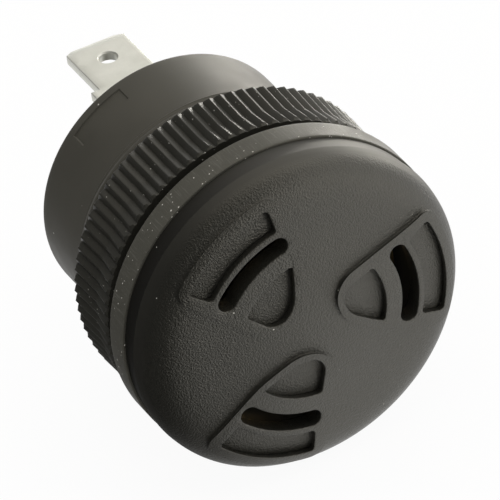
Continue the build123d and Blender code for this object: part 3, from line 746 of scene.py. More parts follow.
@dataclass
class FrontCover(Piece):
    """Domed cover with three sound ports, a rolled rim and a short skirt, all in millimetres."""

    finish: ClassVar[Moulding] = COVER
    node: ClassVar[str] = "front_cover"

    edge_r: float = 13.16
    edge_y: float = -3.70
    edge_land: float = 0.06
    skirt_r: float = 13.0
    skirt_end_y: float = -2.05
    skirt_inner_r: float = 12.2
    crown_height: float = 3.76
    crown: tuple[tuple[float, float], ...] = (
        (8.66, 3.6), (5.16, 3.14), (2.66, 2.62), (0.96, 1.88), (0.21, 1.0)
    )
    crown_wall: float = 2.3
    flange_y: float = -4.35
    chamber_r: float = 10.3
    edge_way: tuple[float, float] = (0.119, -0.993)
    face_join_r: float = 12.36
    back_inset: float = 0.6
    columns: int = 360
    section_rows: int = 1200
    roll_rows: int = 16
    slope_rows: int = 8
    face_gap: float = 0.15
    plate_gap: float = 0.12
    floor_gap: float = 0.1
    seed_rings: tuple[tuple[float, float, float, float], ...] = (
        (0.4, 10.4, 0.4, 0.42), (10.5, 12.26, 0.17, 0.3)
    )
    ports: int = 3
    port_turn: float = 3.1
    side_facings: tuple[float, ...] = (104.3, 180.0, 230.0, 245.0)
    side_places: tuple[tuple[float, float], ...] = (
        (2.05, 2.74), (2.15, 0.0), (2.15, -0.28), (5.0, -2.70)
    )
    side_fillets: tuple[float, ...] = (2.2, 2.95, 10.0)
    port_outer_r: float = 12.0
    corner_fillet: float = 1.0
    port_depth: float = -0.30
    face_sink: float = 0.65
    port_slope: float = 0.13
    pocket_depth: float = 0.60
    lobe_insets: tuple[float, ...] = (0.9, 0.5, 0.55, 0.55)
    lobe_outer_r: float = 6.0
    slot_radii: tuple[float, float] = (7.42, 8.83)
    slot_half_chord: float = 3.4
    pocket_radii: tuple[float, float] = (9.35, 11.3)
    pocket_half_angle: float = 21.5
    small_fillet: float = 0.3
    lip: float = 0.09
    draft: float = 0.04
    floor_round: float = 0.12
    _dome: tuple[Array, Array] = field(init=False)

    def __post_init__(self) -> None:
        """Works out the dome's section once."""
        self._dome = self._section()

    @property
    def _inner_y(self) -> float:
        """Returns the station of the hollow's flat back."""
        return self.edge_y - self.crown_height + self.crown_wall

    def _section(self) -> tuple[Array, Array]:
        """Works out the dome's section.

        The section is a cubic through the stations, with a second derivative that is continuous
        along the chord: level at the middle of the face and almost along the axis at the edge.
        With t the share of a chord h, it is (2t^3 - 3t^2 + 1) a + (t^3 - 2t^2 + t) h a'
        + (3t^2 - 2t^3) b + (t^3 - t^2) h b'.

        Returns:
            Radii, and heights over the edge.
        """
        stations = np.array(
            [(0.0, self.crown_height)]
            + [(self.edge_r - inset, height) for inset, height in self.crown]
            + [(self.edge_r, 0.0)]
        )
        chords = np.hypot(*np.diff(stations, axis=0).T)
        knots = np.concatenate([[0.0], np.cumsum(chords)])
        slopes = self._slopes(knots, stations, np.array([1.0, 0.0]), np.array(self.edge_way))
        fine = np.linspace(0.0, knots[-1], self.section_rows)
        k = np.clip(np.searchsorted(knots, fine, side="right") - 1, 0, len(chords) - 1)
        h = chords[k][:, None]
        t = ((fine - knots[k]) / chords[k])[:, None]
        points = (
            (2 * t**3 - 3 * t**2 + 1) * stations[k] + (t**3 - 2 * t**2 + t) * h * slopes[k]
            + (3 * t**2 - 2 * t**3) * stations[k + 1] + (t**3 - t**2) * h * slopes[k + 1]
        )
        radii = np.minimum(np.maximum.accumulate(points[:, 0]), self.edge_r)
        return radii, points[:, 1]

    @staticmethod
    def _slopes(knots: Array, stations: Array, first: Array, last: Array) -> Array:
        """Solves for the tangents of a clamped cubic whose curvature doesn't jump at a knot.

        Args:
            knots: Length along the chords at each station.
            stations: The stations, (n, 2).
            first: Tangent at the first.
            last: Tangent at the last.

        Returns:
            A tangent for each station.
        """
        h = np.diff(knots)
        count = len(knots)
        matrix = np.eye(count)
        right = np.zeros((count, 2))
        right[0], right[-1] = first, last
        for k in range(1, count - 1):
            matrix[k, k - 1:k + 2] = (h[k], 2 * (h[k - 1] + h[k]), h[k - 1])
            before = (stations[k] - stations[k - 1]) / h[k - 1]
            after = (stations[k + 1] - stations[k]) / h[k]
            right[k] = 3 * (h[k] * before + h[k - 1] * after)
        return np.linalg.solve(matrix, right)

    # Inside the ring where the face joins the rim, of radius j, the dome is flatter than its
    # profile by face_sink * (1 - (r / j)^4)^2.
    def dome_y(self, radius: Array) -> Array:
        """Returns the station of the dome's surface at distances from the axis."""
        flatter = np.clip(1.0 - (radius / self.face_join_r) ** 4, 0.0, 1.0) ** 2
        return self.edge_y - np.interp(radius, *self._dome) + self.face_sink * flatter

    def on_dome(self, depth: float) -> Lift:
        """Makes the lift that carries flat points to the dome.

        Args:
            depth: How far the dome is sunk.

        Returns:
            The lift.
        """
        def lift(flat: Array) -> Array:
            """Puts (x, z) at (x, dome + depth, z)."""
            y = self.dome_y(np.hypot(flat[:, 0], flat[:, 1])) + depth
            return np.stack([flat[:, 0], y, flat[:, 1]], axis=-1)
        return lift

    def wedge(self, insets: tuple[float, ...], outer_r: float, corner: float) -> Outline:
        """Draws a port: a blunt wedge closed by an arc about the face's middle.

        Each straight side is the line n.p = d, with n its outward normal; moving it in by its inset
        lowers d and the radii of the rounds at its ends.

        Args:
            insets: How far each side is moved in.
            outer_r: Radius of the closing arc.
            corner: Radius of the two outer corners.

        Returns:
            The outline.
        """
        normals = polar(1.0, np.array(self.side_facings))
        reach = (normals * np.array(self.side_places)).sum(axis=1) - np.array(insets)
        arcs = []
        for k, fillet in enumerate(self.side_fillets):
            radius = fillet - max(insets[k:k + 2])
            centre = np.linalg.solve(normals[k:k + 2], reach[k:k + 2] - radius)
            start, end = self.side_facings[k:k + 2]
            arcs.append(Arc(tuple(centre), radius, start, end - start))
        ends = []
        for k, along in ((0, -90.0), (-1, 90.0)):
            run = math.sqrt((outer_r - corner) ** 2 - (reach[k] - corner) ** 2)
            way = polar(1.0, self.side_facings[k] + along)
            ends.append((reach[k] - corner) * normals[k] + run * way)
        upper, lower = (math.degrees(math.atan2(y, x)) for x, y in ends)
        return Outline((
            Arc((0.0, 0.0), outer_r, lower, upper - lower),
            Arc(tuple(ends[0]), corner, upper, self.side_facings[0] - upper),
            *arcs,
            Arc(tuple(ends[1]), corner, self.side_facings[-1],
                360.0 + lower - self.side_facings[-1]),
        ))

    def slot(self) -> Outline:
        """Draws the round-ended slot that follows an arc about the middle of the face.

        Returns:
            The outline.
        """
        low, high = self.slot_radii
        middle, end = (low + high) / 2, (high - low) / 2
        half = math.degrees(math.asin(self.slot_half_chord / middle) - end / middle)
        upper, lower = polar(middle, half), polar(middle, -half)
        return Outline((
            Arc((0.0, 0.0), high, -half, 2 * half), Arc(tuple(upper), end, half, 180.0),
            Arc((0.0, 0.0), low, half, -2 * half), Arc(tuple(lower), end, 180.0 - half, 180.0),
        ))

    def pocket(self) -> Outline:
        """Draws the outer pocket: the sector of a ring, with small corner rounds.

        Returns:
            The outline.
        """
        low, high = self.pocket_radii
        f, half = self.small_fillet, self.pocket_half_angle
        inner = half - math.degrees(math.asin(f / (low + f)))
        outer = half - math.degrees(math.asin(f / (high - f)))
        return Outline((
            Arc((0.0, 0.0), high, -outer, 2 * outer),
            Arc(tuple(polar(high - f, outer)), f, outer, 90.0 + half - outer),
            Arc(tuple(polar(low + f, inner)), f, 90.0 + half, 90.0 + inner - half),
            Arc((0.0, 0.0), low, inner, -2 * inner),
            Arc(tuple(polar(low + f, -inner)), f, 180.0 - inner, 90.0 + inner - half),
            Arc(tuple(polar(high - f, -outer)), f, 270.0 - half, 90.0 + half - outer),
        ))

    def _walls(self, shell: Shell, outline: Outline, turn: float, steps: Array) -> None:
        """Adds the strip that follows a turned outline down the (grow, depth) rows of a section."""
        rows = [self.on_dome(depth)(outline.ring(grow, turn)) for grow, depth in steps]
        shell.grid(np.stack(rows))

    def _blind(self, shell: Shell, outline: Outline, turn: float, seeds: Array) -> Array:
        """Adds a blind pocket with a rounded lip and a rounded floor.

        Args:
            shell: What it is added to.
            outline: Its outline.
            turn: Angle of the port.
            seeds: Points wanted in its floor.

        Returns:
            Its upper ring.
        """
        floor = self.port_depth + self.pocket_depth
        foot = (-self.draft, floor) - quarter_round(self.floor_round, 5)[:, ::-1]
        self._walls(shell, outline, turn, np.concatenate([self._lip_rows(), foot]))
        shell.region(outline.ring(foot[-1, 0], turn), [], seeds, self.on_dome(floor))
        return outline.ring(self.lip, turn)

    def _through(self, shell: Shell, outline: Outline, turn: float) -> tuple[Array, Array]:
        """Adds the slot's wall from the port's plate to the hollow.

        Args:
            shell: What it is added to.
            outline: Its outline.
            turn: Angle of the port.

        Returns:
            Its upper and lower rings.
        """
        low = outline.ring(-self.draft, turn)
        rows = [self.on_dome(depth)(outline.ring(grow, turn)) for grow, depth in self._lip_rows()]
        shell.grid(np.stack([*rows, self._flat_back(low)]))
        return outline.ring(self.lip, turn), low

    def _lip_rows(self) -> Array:
        """Returns (grow, depth) of each row of the rounded lip round an opening in a port."""
        return (0.0, self.port_depth) + quarter_round(self.lip, 4)

    def _flat_back(self, flat: Array) -> Array:
        """Puts (x, z) in the plane of the hollow's back."""
        return np.stack([flat[:, 0], np.full(len(flat), self._inner_y), flat[:, 1]], axis=-1)

    def _face_seeds(self) -> Array:
        """Spreads points over the face, closer together towards the rim.

        Returns:
            The points, (n, 2).
        """
        rings = [
            (radius, pitch)
            for start, end, step, pitch in self.seed_rings
            for radius in np.arange(start, end, step)
        ]
        return np.concatenate([np.zeros((1, 2)), spread(rings)])

    def build(self) -> bpy.types.Object:
        """Builds the cover.

        The face is the dome's surface cut by the port outlines. Each port's edge is an eased
        slope, depth = port_depth * smooth_step(share of the slope's width), and its plate is the
        same dome moved by that depth; a depth below nought raises it.

        Returns:
            The cover as one closed piece.
        """
        shell = Shell()
        seeds = self._face_seeds()
        port = self.wedge((0.0,) * 4, self.port_outer_r, self.corner_fillet)
        lobe = self.wedge(self.lobe_insets, self.lobe_outer_r, self.small_fillet)
        shares = np.linspace(0.0, 1.0, self.slope_rows)
        slope = np.stack(
            [self.port_slope * (0.5 - shares), self.port_depth * smooth_step(shares)], axis=-1
        )
        plate = self.on_dome(self.port_depth)
        openings, inner_rings = [], []
        for k in range(self.ports):
            turn = self.port_turn + k * 360.0 / self.ports
            self._walls(shell, port, turn, slope)
            upper, lower = self._through(shell, self.slot(), turn)
            holes = [self._blind(shell, outline, turn, self._clear(seeds, outline, turn))
                     for outline in (lobe, self.pocket())]
            edge = port.ring(slope[-1, 0], turn)
            rings = [edge, upper, *holes]
            shell.region(edge, rings[1:], seeds[clear_of(seeds, rings, self.plate_gap)], plate)
            openings.append(port.ring(slope[0, 0], turn))
            inner_rings.append(lower)
        rim = circle(self.face_join_r, self.columns)
        clear = seeds[clear_of(seeds, [rim, *openings], self.face_gap)]
        shell.region(rim, openings, clear, self.on_dome(0.0))
        self._back(shell, inner_rings)
        return shell.piece("front_cover_piece")

    def _clear(self, seeds: Array, outline: Outline, turn: float) -> Array:
        """Returns the seeds that keep clear of a pocket's floor ring."""
        ring = outline.ring(-self.draft - self.floor_round, turn)
        return seeds[clear_of(seeds, [ring], self.floor_gap)]

    def _back(self, shell: Shell, inner_rings: Sequence[Array]) -> None:
        """Adds the rim, the skirt and the hollow back, and closes it round the slots.

        Args:
            shell: What they are added to.
            inner_rings: The slots' lower rings.
        """
        radii, heights = self._dome
        start = int(np.searchsorted(radii, self.face_join_r))
        pick = np.linspace(start, len(radii) - 1, self.roll_rows + 1).astype(int)[1:]
        roll = np.stack([radii[pick], self.edge_y - heights[pick]], axis=-1)
        join = np.array([[self.face_join_r, float(self.dome_y(np.array(self.face_join_r)))]])
        land_y = self.edge_y + self.edge_land
        back_r = self.chamber_r - self.back_inset
        back = rounded([
            (self.edge_r, land_y, 0.0), (self.skirt_r, land_y + 0.02, 0.06),
            (self.skirt_r, self.skirt_end_y, 0.07), (self.skirt_inner_r, self.skirt_end_y, 0.05),
            (self.skirt_inner_r, self.flange_y, 0.0), (self.chamber_r, self.flange_y, 0.05),
            (self.chamber_r, self._inner_y, 0.3), (back_r, self._inner_y, 0.0),
        ])
        shell.grid(turned(np.concatenate([join, roll, back]), self.columns))
        ring = circle(back_r, self.columns)
        shell.region(ring, inner_rings, np.zeros((0, 2)), self._flat_back)


# ---- ring nut, gasket and housing ------------------------------------------------------------


@dataclass
class RingNut(Piece):
    """Waisted ring nut with V serrations all round, in millimetres."""

    finish: ClassVar[Moulding] = NUT
    node: ClassVar[str] = "ring_nut"
    body: ClassVar[str] = "nut"

    front_y: float = 1.25
    rear_y: float = 6.75
    waist_y: float = 3.39
    front_r: float = 12.9
    waist_r: float = 12.62
    rear_r: float = 12.74
    bore_r: float = 11.0
    teeth: int = 88
    tooth_depth: float = 0.35
    tooth_stations: tuple[float, ...] = (0.0, 0.025, 0.06, 0.11, 0.25, 0.5, 0.75, 0.89, 0.94, 0.975)
    crest_round: float = 0.12
    end_chamfer: float = 0.22
    chamfer_slope: float = 1.02
    bore_chamfer: float = 0.4
    bore_step: float = 0.15
    pitch: float = 1.5
    thread_depth: float = 0.28

    def build(self) -> bpy.types.Object:
        """Builds the nut.

        A point of the outside is at radius crest(y) - depth * (sqrt(p^2 + c^2) - c), cut off by the
        end chamfers, where p is the distance from the nearest crest as a share of half a tooth and
        c rounds the crest. The bore is at bore_r + thread_depth * groove, where the groove follows
        a helix.

        Returns:
            The nut as one closed piece.
        """
        turn = (np.arange(self.teeth)[:, None] + np.array(self.tooth_stations)).ravel() / self.teeth
        phase = np.abs((turn * self.teeth + 0.5) % 1.0 - 0.5) * 2.0
        vee = (np.hypot(phase, self.crest_round) - self.crest_round) * self.tooth_depth
        c, y0, y1 = self.end_chamfer, self.front_y, self.rear_y
        y = np.concatenate([
            [y0, y0 + 0.5 * c, y0 + c], np.linspace(y0 + c, self.waist_y, 8)[1:],
            np.linspace(self.waist_y, y1 - c, 9)[1:], [y1 - 0.5 * c, y1],
        ])
        crest = np.interp(y, [y0, self.waist_y, y1], [self.front_r, self.waist_r, self.rear_r])
        trim = np.minimum(
            self.front_r - c + np.clip(y - y0, 0.0, c) * self.chamfer_slope,
            self.rear_r - c + np.clip(y1 - y, 0.0, c) * self.chamfer_slope,
        )
        trim = np.where((y < y0 + c) | (y > y1 - c), trim, np.inf)
        outside = np.minimum(crest[:, None] - vee, trim[:, None])
        high, low = y1 - self.bore_chamfer, y0 + self.bore_chamfer
        bore_y = np.concatenate([
            [y1, high], np.arange(high - self.bore_step, low, -self.bore_step), [low, y0],
        ])
        helix = (bore_y[:, None] / self.pitch - turn) % 1.0
        groove = self.thread_depth * (1.0 - np.abs(2.0 * helix - 1.0))
        inset = np.clip(np.minimum(bore_y - y0, y1 - bore_y) / self.bore_chamfer, 0.0, 1.0)
        inset = inset[:, None]
        chamfer = self.bore_chamfer * (1.0 - inset)
        bore = self.bore_r + np.maximum(groove * smooth_step(inset), chamfer)
        radius = np.concatenate([outside, bore, outside[:1]])
        rows = np.concatenate([y, bore_y, y[:1]])
        shell = Shell()
        shell.grid(round_axis(radius, rows, turn * 360.0))
        return shell.piece("ring_nut_piece", 26.0)


@dataclass
class PanelGasket(Piece):
    """Flat ring of rubber between the head and the panel, in millimetres."""

    finish: ClassVar[Moulding] = GASKET
    node: ClassVar[str] = "panel_gasket"

    outer_r: float = 13.19
    bore_r: float = 11.0
    front_y: float = -2.05
    rear_y: float = 0.0
    waver: float = 0.008
    waver_zone: float = 0.4
    columns: int = 360

    def build(self) -> bpy.types.Object:
        """Builds the gasket.

        The section is a rectangle with rounded corners, and its outer radius wavers round the axis
        by -waver * (1 + sin(5a + 0.6) cos 3a).

        Returns:
            The gasket as one closed piece.
        """
        section = rounded([
            (self.bore_r, self.front_y, 0.0), (self.outer_r - 0.01, self.front_y, 0.10),
            (self.outer_r - 0.01, self.rear_y, 0.09), (self.bore_r, self.rear_y, 0.06),
            (self.bore_r, self.front_y, 0.0),
        ], 4)
        section = split_runs(section, 0.3)
        points = turned(section, self.columns)
        turn = np.linspace(0.0, 2.0 * np.pi, self.columns, endpoint=False)
        waver = -self.waver * (1.0 + np.sin(5.0 * turn + 0.6) * np.cos(3.0 * turn))
        zone = (section[:, 0] - self.outer_r + self.waver_zone) / self.waver_zone
        share = smooth_step(zone)[:, None] * waver
        points[..., 0] += share * np.cos(turn)
        points[..., 2] += share * np.sin(turn)
        shell = Shell()
        shell.grid(points)
        return shell.piece("panel_gasket_piece")


@dataclass
class Housing(Piece):
    """Flange, threaded stem and rear cup in one moulding, in millimetres."""

    finish: ClassVar[Moulding] = HOUSING
    node: ClassVar[str] = "housing"

    flange_r: float = 12.15
    flange_y: float = -4.35
    skirt_end_y: float = -2.05
    stem_r: float = 10.95
    stem_end_y: float = 9.6
    body_r: float = 10.45
    body_end_y: float = 16.2
    rear_bore_r: float = 9.1
    waist_bore_r: float = 8.3
    front_bore_r: float = 9.3
    front_bore_end_y: float = -0.9
    board_ledge_y: float = 5.0
    pitch: float = 1.5
    thread_depth: float = 0.5
    plain_length: float = 1.2
    run_in: float = 0.5
    run_out: float = 0.9
    stem_chamfer: float = 0.3
    pad_angle: float = 121.2
    pad_width: float = 4.83
    pad_length: float = 1.5
    pad_depth: float = 0.12
    pad_from_end: float = 0.87
    pad_slope: float = 0.05
    column_step: float = 1.25
    row_step: float = 0.1

    def _angles(self) -> Array:
        """Spaces the columns, closer together at the bare pad's edges.

        Returns:
            Their angles, in degrees.
        """
        half = math.degrees(self.pad_width / 2 / self.body_r)
        edges = [self.pad_angle - half, self.pad_angle + half]
        fine = np.concatenate([edge + np.linspace(-0.5, 0.5, 5) for edge in edges])
        even = np.arange(0.0, 360.0, self.column_step)
        return np.unique(np.round(np.concatenate([even, fine]), 4))

    def _section(self) -> Array:
        """Draws the closed section, from the flange's front round the outside and the bores.

        Returns:
            The section as (radius, y) rows.
        """
        outside = split_runs(rounded([
            (self.front_bore_r, self.flange_y, 0.0), (self.flange_r, self.flange_y, 0.1),
            (self.flange_r, self.skirt_end_y, 0.05), (self.stem_r, self.skirt_end_y, 0.0),
        ]), 1.0)
        first, last = self.skirt_end_y + self.row_step, self.stem_end_y - self.row_step / 2
        thread_y = np.arange(first, last, self.row_step)
        thread = np.stack([np.full(len(thread_y), self.stem_r), thread_y], axis=-1)
        cup = rounded([
            (self.stem_r - self.stem_chamfer, self.stem_end_y, 0.0),
            (self.body_r, self.stem_end_y, 0.05),
            (self.body_r, self.body_end_y - 0.9, 0.0), (self.body_r, self.body_end_y, 0.3),
            (self.rear_bore_r, self.body_end_y, 0.09), (self.rear_bore_r, self.board_ledge_y, 0.0),
            (self.waist_bore_r, self.board_ledge_y, 0.0),
            (self.waist_bore_r, self.front_bore_end_y, 0.0),
            (self.front_bore_r, self.front_bore_end_y, 0.0),
            (self.front_bore_r, self.flange_y, 0.0),
        ], 5)
        return np.concatenate([outside, thread, self._divided(cup)])

    def _divided(self, cup: Array) -> Array:
        """Adds the rows that the bare pad needs.

        Args:
            cup: Section of the cup.

        Returns:
            The section with them.
        """
        far = self.body_end_y - self.pad_from_end
        near = far - self.pad_length
        steps = np.linspace(-0.6, 0.6, 4) * self.pad_slope
        rows = np.concatenate([near + steps, far + steps])
        spots = np.stack([np.full(len(rows), self.body_r), rows], axis=-1)
        on_cup = np.isclose(cup[:, 0], self.body_r) & (cup[:, 1] < near)
        start = int(np.flatnonzero(on_cup)[-1]) + 1
        rest = cup[start:]
        after = rest[(rest[:, 1] > rows[-1]) | (rest[:, 0] < self.body_r - 1e-6)]
        return split_runs(np.concatenate([cup[:start], spots, after]), 1.2)

    def _relief(self, section: Array, angles: Array) -> Array:
        """Works out how far each point is cut in from its section.

        The thread's cut is depth * (1 - 2|u|) eased at crest and root, where u is the distance
        from the groove's middle in pitches along a helix, and fades out at the ends of the stem.
        The pad's cut is pad_depth inside a rectangle, eased at its edges.

        Args:
            section: The section as (radius, y) rows.
            angles: Angle of each column, in degrees.

        Returns:
            The cuts, (rows, columns).
        """
        radius, y = section[:, 0, None], section[:, 1, None]
        on_stem = (np.abs(radius - self.stem_r) < 1e-6) & (y > self.skirt_end_y)
        wave = np.abs(((y / self.pitch - angles / 360.0) % 1.0) * 2.0 - 1.0)
        start = smooth_step((y - self.skirt_end_y - self.plain_length) / self.run_in)
        ends = smooth_step((self.stem_end_y - y) / self.run_out) * start
        thread = self.thread_depth * smooth_step((wave - 0.1) / 0.8) * ends
        chamfer = np.clip(y - self.stem_end_y + self.stem_chamfer, 0.0, self.stem_chamfer)
        far = self.body_end_y - self.pad_from_end
        across = np.abs((angles - self.pad_angle + 180.0) % 360.0 - 180.0)
        side = self.pad_width / 2 - np.radians(across) * self.body_r
        along = np.minimum(y - (far - self.pad_length), far - y)
        depth = smooth_step(np.minimum(side, along) / self.pad_slope + 0.5) * self.pad_depth
        on_cup = np.abs(radius - self.body_r) < 1e-6
        return np.where(on_stem, np.maximum(thread, chamfer), np.where(on_cup, depth, 0.0))

    def build(self) -> bpy.types.Object:
        """Builds the housing: its section carried round, less the relief.

        Returns:
            The housing as one closed piece.
        """
        section, angles = self._section(), self._angles()
        radius = section[:, 0, None] - self._relief(section, angles)
        shell = Shell()
        shell.grid(round_axis(radius, section[:, 1], angles))
        return shell.piece("housing_piece", 34.0)


# ---- terminals and potting -------------------------------------------------------------------


class Side(Enum):
    """Side of the axis that a terminal stands on."""

    POSITIVE = 1
    NEGATIVE = -1


@dataclass
class Terminal(Piece):
    """Sheet-metal blade with a shoulder, a bevelled nose and a detent hole, in millimetres."""

    finish: ClassVar[Metal] = TIN

    side: Side
    plane_z: float = 6.0
    width: float = 4.9
    base_width: float = 6.3
    thickness: float = 0.8
    shoulder_y: float = 20.9
    tip_y: float = 26.9
    tip_corner: float = 0.6
    nose: float = 0.6
    nose_depth: float = 0.25
    hole_r: float = 0.7
    hole_from_tip: float = 2.68
    hole_chamfer: float = 0.10
    leg_width: float = 1.2
    leg_spacing: float = 3.6
    board_rear_y: float = 6.0
    leg_y: float = 4.1
    burr: float = 0.07
    seed_step: float = 0.55
    seed_gap: float = 0.2
    edge_pitch: float = 0.35
    hole_columns: int = 48

    @property
    def node(self) -> str:
        """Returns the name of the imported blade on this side."""
        return f"{self.side.name.lower()}_blade"

    def _outline(self) -> Array:
        """Draws the plate.

        Returns:
            Its corners counterclockwise, as (x, y).
        """
        half, base = self.width / 2, self.base_width / 2
        near = self.leg_spacing / 2 - self.leg_width / 2
        far = near + self.leg_width
        right = np.array([
            (near, self.board_rear_y), (near, self.leg_y),
            (far, self.leg_y), (far, self.board_rear_y),
            (base, self.board_rear_y), (base, self.shoulder_y), (half, self.shoulder_y),
            (half, self.tip_y - self.tip_corner), (half - self.tip_corner, self.tip_y),
        ])
        return np.concatenate([right, right[::-1] * (-1.0, 1.0)])

    @staticmethod
    def _inset(corners: Array, step: float) -> Array:
        """Moves each side of a ring of corners inwards: corner + step (n1 + n2) / (1 + n1.n2).

        Args:
            corners: The corners, (n, 2).
            step: How far each side moves.

        Returns:
            The moved corners.
        """
        before = corners - np.roll(corners, 1, axis=0)
        after = np.roll(corners, -1, axis=0) - corners
        n1 = np.stack([-before[:, 1], before[:, 0]], axis=-1) / np.hypot(*before.T)[:, None]
        n2 = np.stack([-after[:, 1], after[:, 0]], axis=-1) / np.hypot(*after.T)[:, None]
        return corners + step * (n1 + n2) / (1.0 + (n1 * n2).sum(axis=1))[:, None]

    def _dense(self, ring: Array, like: Array) -> Array:
        """Divides a ring's sides as finely as those of a ring that it is like.

        Args:
            ring: The ring, (n, 2).
            like: The other ring, with as many corners.

        Returns:
            The divided ring.
        """
        rows = []
        for k, a in enumerate(ring):
            b = ring[(k + 1) % len(ring)]
            length = float(np.hypot(*(like[(k + 1) % len(like)] - like[k])))
            steps = max(1, math.ceil(length / self.edge_pitch))
            rows.append(a + (b - a) * (np.arange(steps) / steps)[:, None])
        return np.concatenate(rows)

    def _lift(self, face: float, sink: float) -> Lift:
        """Makes the lift to one face of the plate: half its thickness less the nose's bevel.

        Args:
            face: 1 for the face on the +Z side, -1 for the other.
            sink: How far below the face the lift ends.

        Returns:
            The lift.
        """
        middle = self.side.value * self.plane_z

        def lift(flat: Array) -> Array:
            """Puts (x, y) on the face.

            Args:
                flat: The points, (n, 2).

            Returns:
                The points (x, y, z), (n, 3).
            """
            share = np.clip((flat[:, 1] - self.tip_y + self.nose) / self.nose, 0.0, 1.0)
            z = middle + face * (self.thickness / 2 - self.nose_depth * share - sink)
            return np.stack([flat[:, 0], flat[:, 1], z], axis=-1)
        return lift

    def build(self) -> bpy.types.Object:
        """Builds the blade.

        Its edge runs from one face to the other as a quarter round of the burr's radius, a flat
        and a second quarter round; the detent hole has a chamfer on both faces.

        Returns:
            The blade as one closed piece.
        """
        shell = Shell()
        corners = self._outline()
        burr = quarter_round(self.burr, 4)
        edge = []
        for face in (1.0, -1.0):
            rows = [self._lift(face, sink)(self._dense(self._inset(corners, inset), corners))
                    for inset, sink in burr]
            edge.extend(rows if face > 0 else rows[::-1])
        shell.grid(np.stack(edge))
        hole = (0.0, self.tip_y - self.hole_from_tip)
        mouths = [(self.hole_r + self.hole_chamfer, 0.0), (self.hole_r, self.hole_chamfer)]
        bore = [self._lift(face, sink)(circle(r, self.hole_columns) + hole)
                for face, steps in ((1.0, mouths), (-1.0, mouths[::-1])) for r, sink in steps]
        shell.grid(np.stack(bore))
        rim = self._dense(self._inset(corners, self.burr), corners)
        mouth = circle(mouths[0][0], self.hole_columns) + hole
        step = self.seed_step
        columns = np.arange(-2.8, 2.9, step)
        x, y = np.meshgrid(columns, np.arange(self.leg_y + 0.3, self.tip_y - 0.1, step))
        seeds = np.stack([x.ravel(), y.ravel()], axis=-1)
        bend_line = np.stack(
            [np.linspace(-1.6, 1.6, 7), np.full(7, self.tip_y - self.nose)], axis=-1
        )
        clear = seeds[clear_of(seeds, [rim, mouth, bend_line], self.seed_gap)]
        seeds = np.concatenate([clear, bend_line])
        for face in (1.0, -1.0):
            shell.region(rim, [mouth], seeds, self._lift(face, 0.0))
        return shell.piece(f"{self.node}_piece", 28.0)


@dataclass
class Potting(Piece):
    """Casting resin in the rear cup, crept up the wall and the blades, in millimetres."""

    finish: ClassVar[Moulding] = RESIN
    node: ClassVar[str] = "potting"

    radius: float = 9.1
    front_y: float = 6.0
    rear_y: float = 15.3
    blade_z: float = 6.0
    slot_width: float = 6.3
    slot_thickness: float = 0.8
    creep: float = 0.22
    reach: float = 0.35
    sag: float = 0.05
    seed_pitch: float = 0.35
    seed_gap: float = 0.1
    wall_seeds: tuple[float, ...] = (8.2, 8.45, 8.65, 8.82, 8.96)
    columns: int = 180

    def _slot(self, side: Side) -> Array:
        """Draws the opening round one blade.

        Args:
            side: The blade's side.

        Returns:
            Its ring, (n, 2).
        """
        x, z = self.slot_width / 2, self.slot_thickness / 2
        along, across = np.linspace(-x, x, 25)[:-1], np.linspace(-z, z, 5)[:-1]
        ring = np.concatenate([
            np.stack([along, np.full(24, -z)], axis=-1), np.stack([np.full(4, x), across], axis=-1),
            np.stack([-along, np.full(24, z)], axis=-1),
            np.stack([np.full(4, -x), -across], axis=-1),
        ])
        return ring + (0.0, side.value * self.blade_z)

    def _top(self, flat: Array) -> Array:
        """Lifts flat points to the resin's surface: rear_y + creep * exp(-distance / reach).

        The distance is the one to the nearest of the wall and the two blades; the middle sags by
        sag * (1 - (r / radius)^2).

        Args:
            flat: The points, (n, 2).

        Returns:
            The points of the surface, (n, 3).
        """
        radius = np.hypot(flat[:, 0], flat[:, 1])
        away = [self.radius - radius]
        for side in Side:
            x, z = flat[:, 0], flat[:, 1] - side.value * self.blade_z
            dx = np.maximum(np.abs(x) - self.slot_width / 2, 0.0)
            dz = np.maximum(np.abs(z) - self.slot_thickness / 2, 0.0)
            away.append(np.hypot(dx, dz))
        nearest = np.maximum(np.min(away, axis=0), 0.0)
        sag = self.sag * (1 - (radius / self.radius) ** 2)
        y = self.rear_y + self.creep * np.exp(-nearest / self.reach) - sag
        return np.stack([flat[:, 0], y, flat[:, 1]], axis=-1)

    def _bottom(self, flat: Array) -> Array:
        """Puts (x, z) in the plane of the board's rear face."""
        return np.stack([flat[:, 0], np.full(len(flat), self.front_y), flat[:, 1]], axis=-1)

    def build(self) -> bpy.types.Object:
        """Builds the resin.

        Returns:
            The resin as one closed piece with an opening for each blade.
        """
        shell = Shell()
        rim = circle(self.radius, self.columns)
        slots = [self._slot(side) for side in Side]
        grown = [slot + (slot - slot.mean(axis=0)) * (0.05, 0.4) for slot in slots]
        radii = [*np.arange(0.4, 8.0, self.seed_pitch), *self.wall_seeds]
        seeds = spread([(radius, self.seed_pitch) for radius in radii])
        clear = seeds[clear_of(seeds, [rim, *slots, *grown], self.seed_gap)]
        seeds = np.concatenate([clear, *grown])
        shell.region(rim, slots, seeds, self._top)
        shell.region(rim, slots, np.zeros((0, 2)), self._bottom)
        for ring in (rim, *slots):
            shell.grid(np.stack([self._top(ring), self._bottom(ring)]))
        return shell.piece("potting_piece", 40.0)


# ---- studio ----------------------------------------------------------------------------------


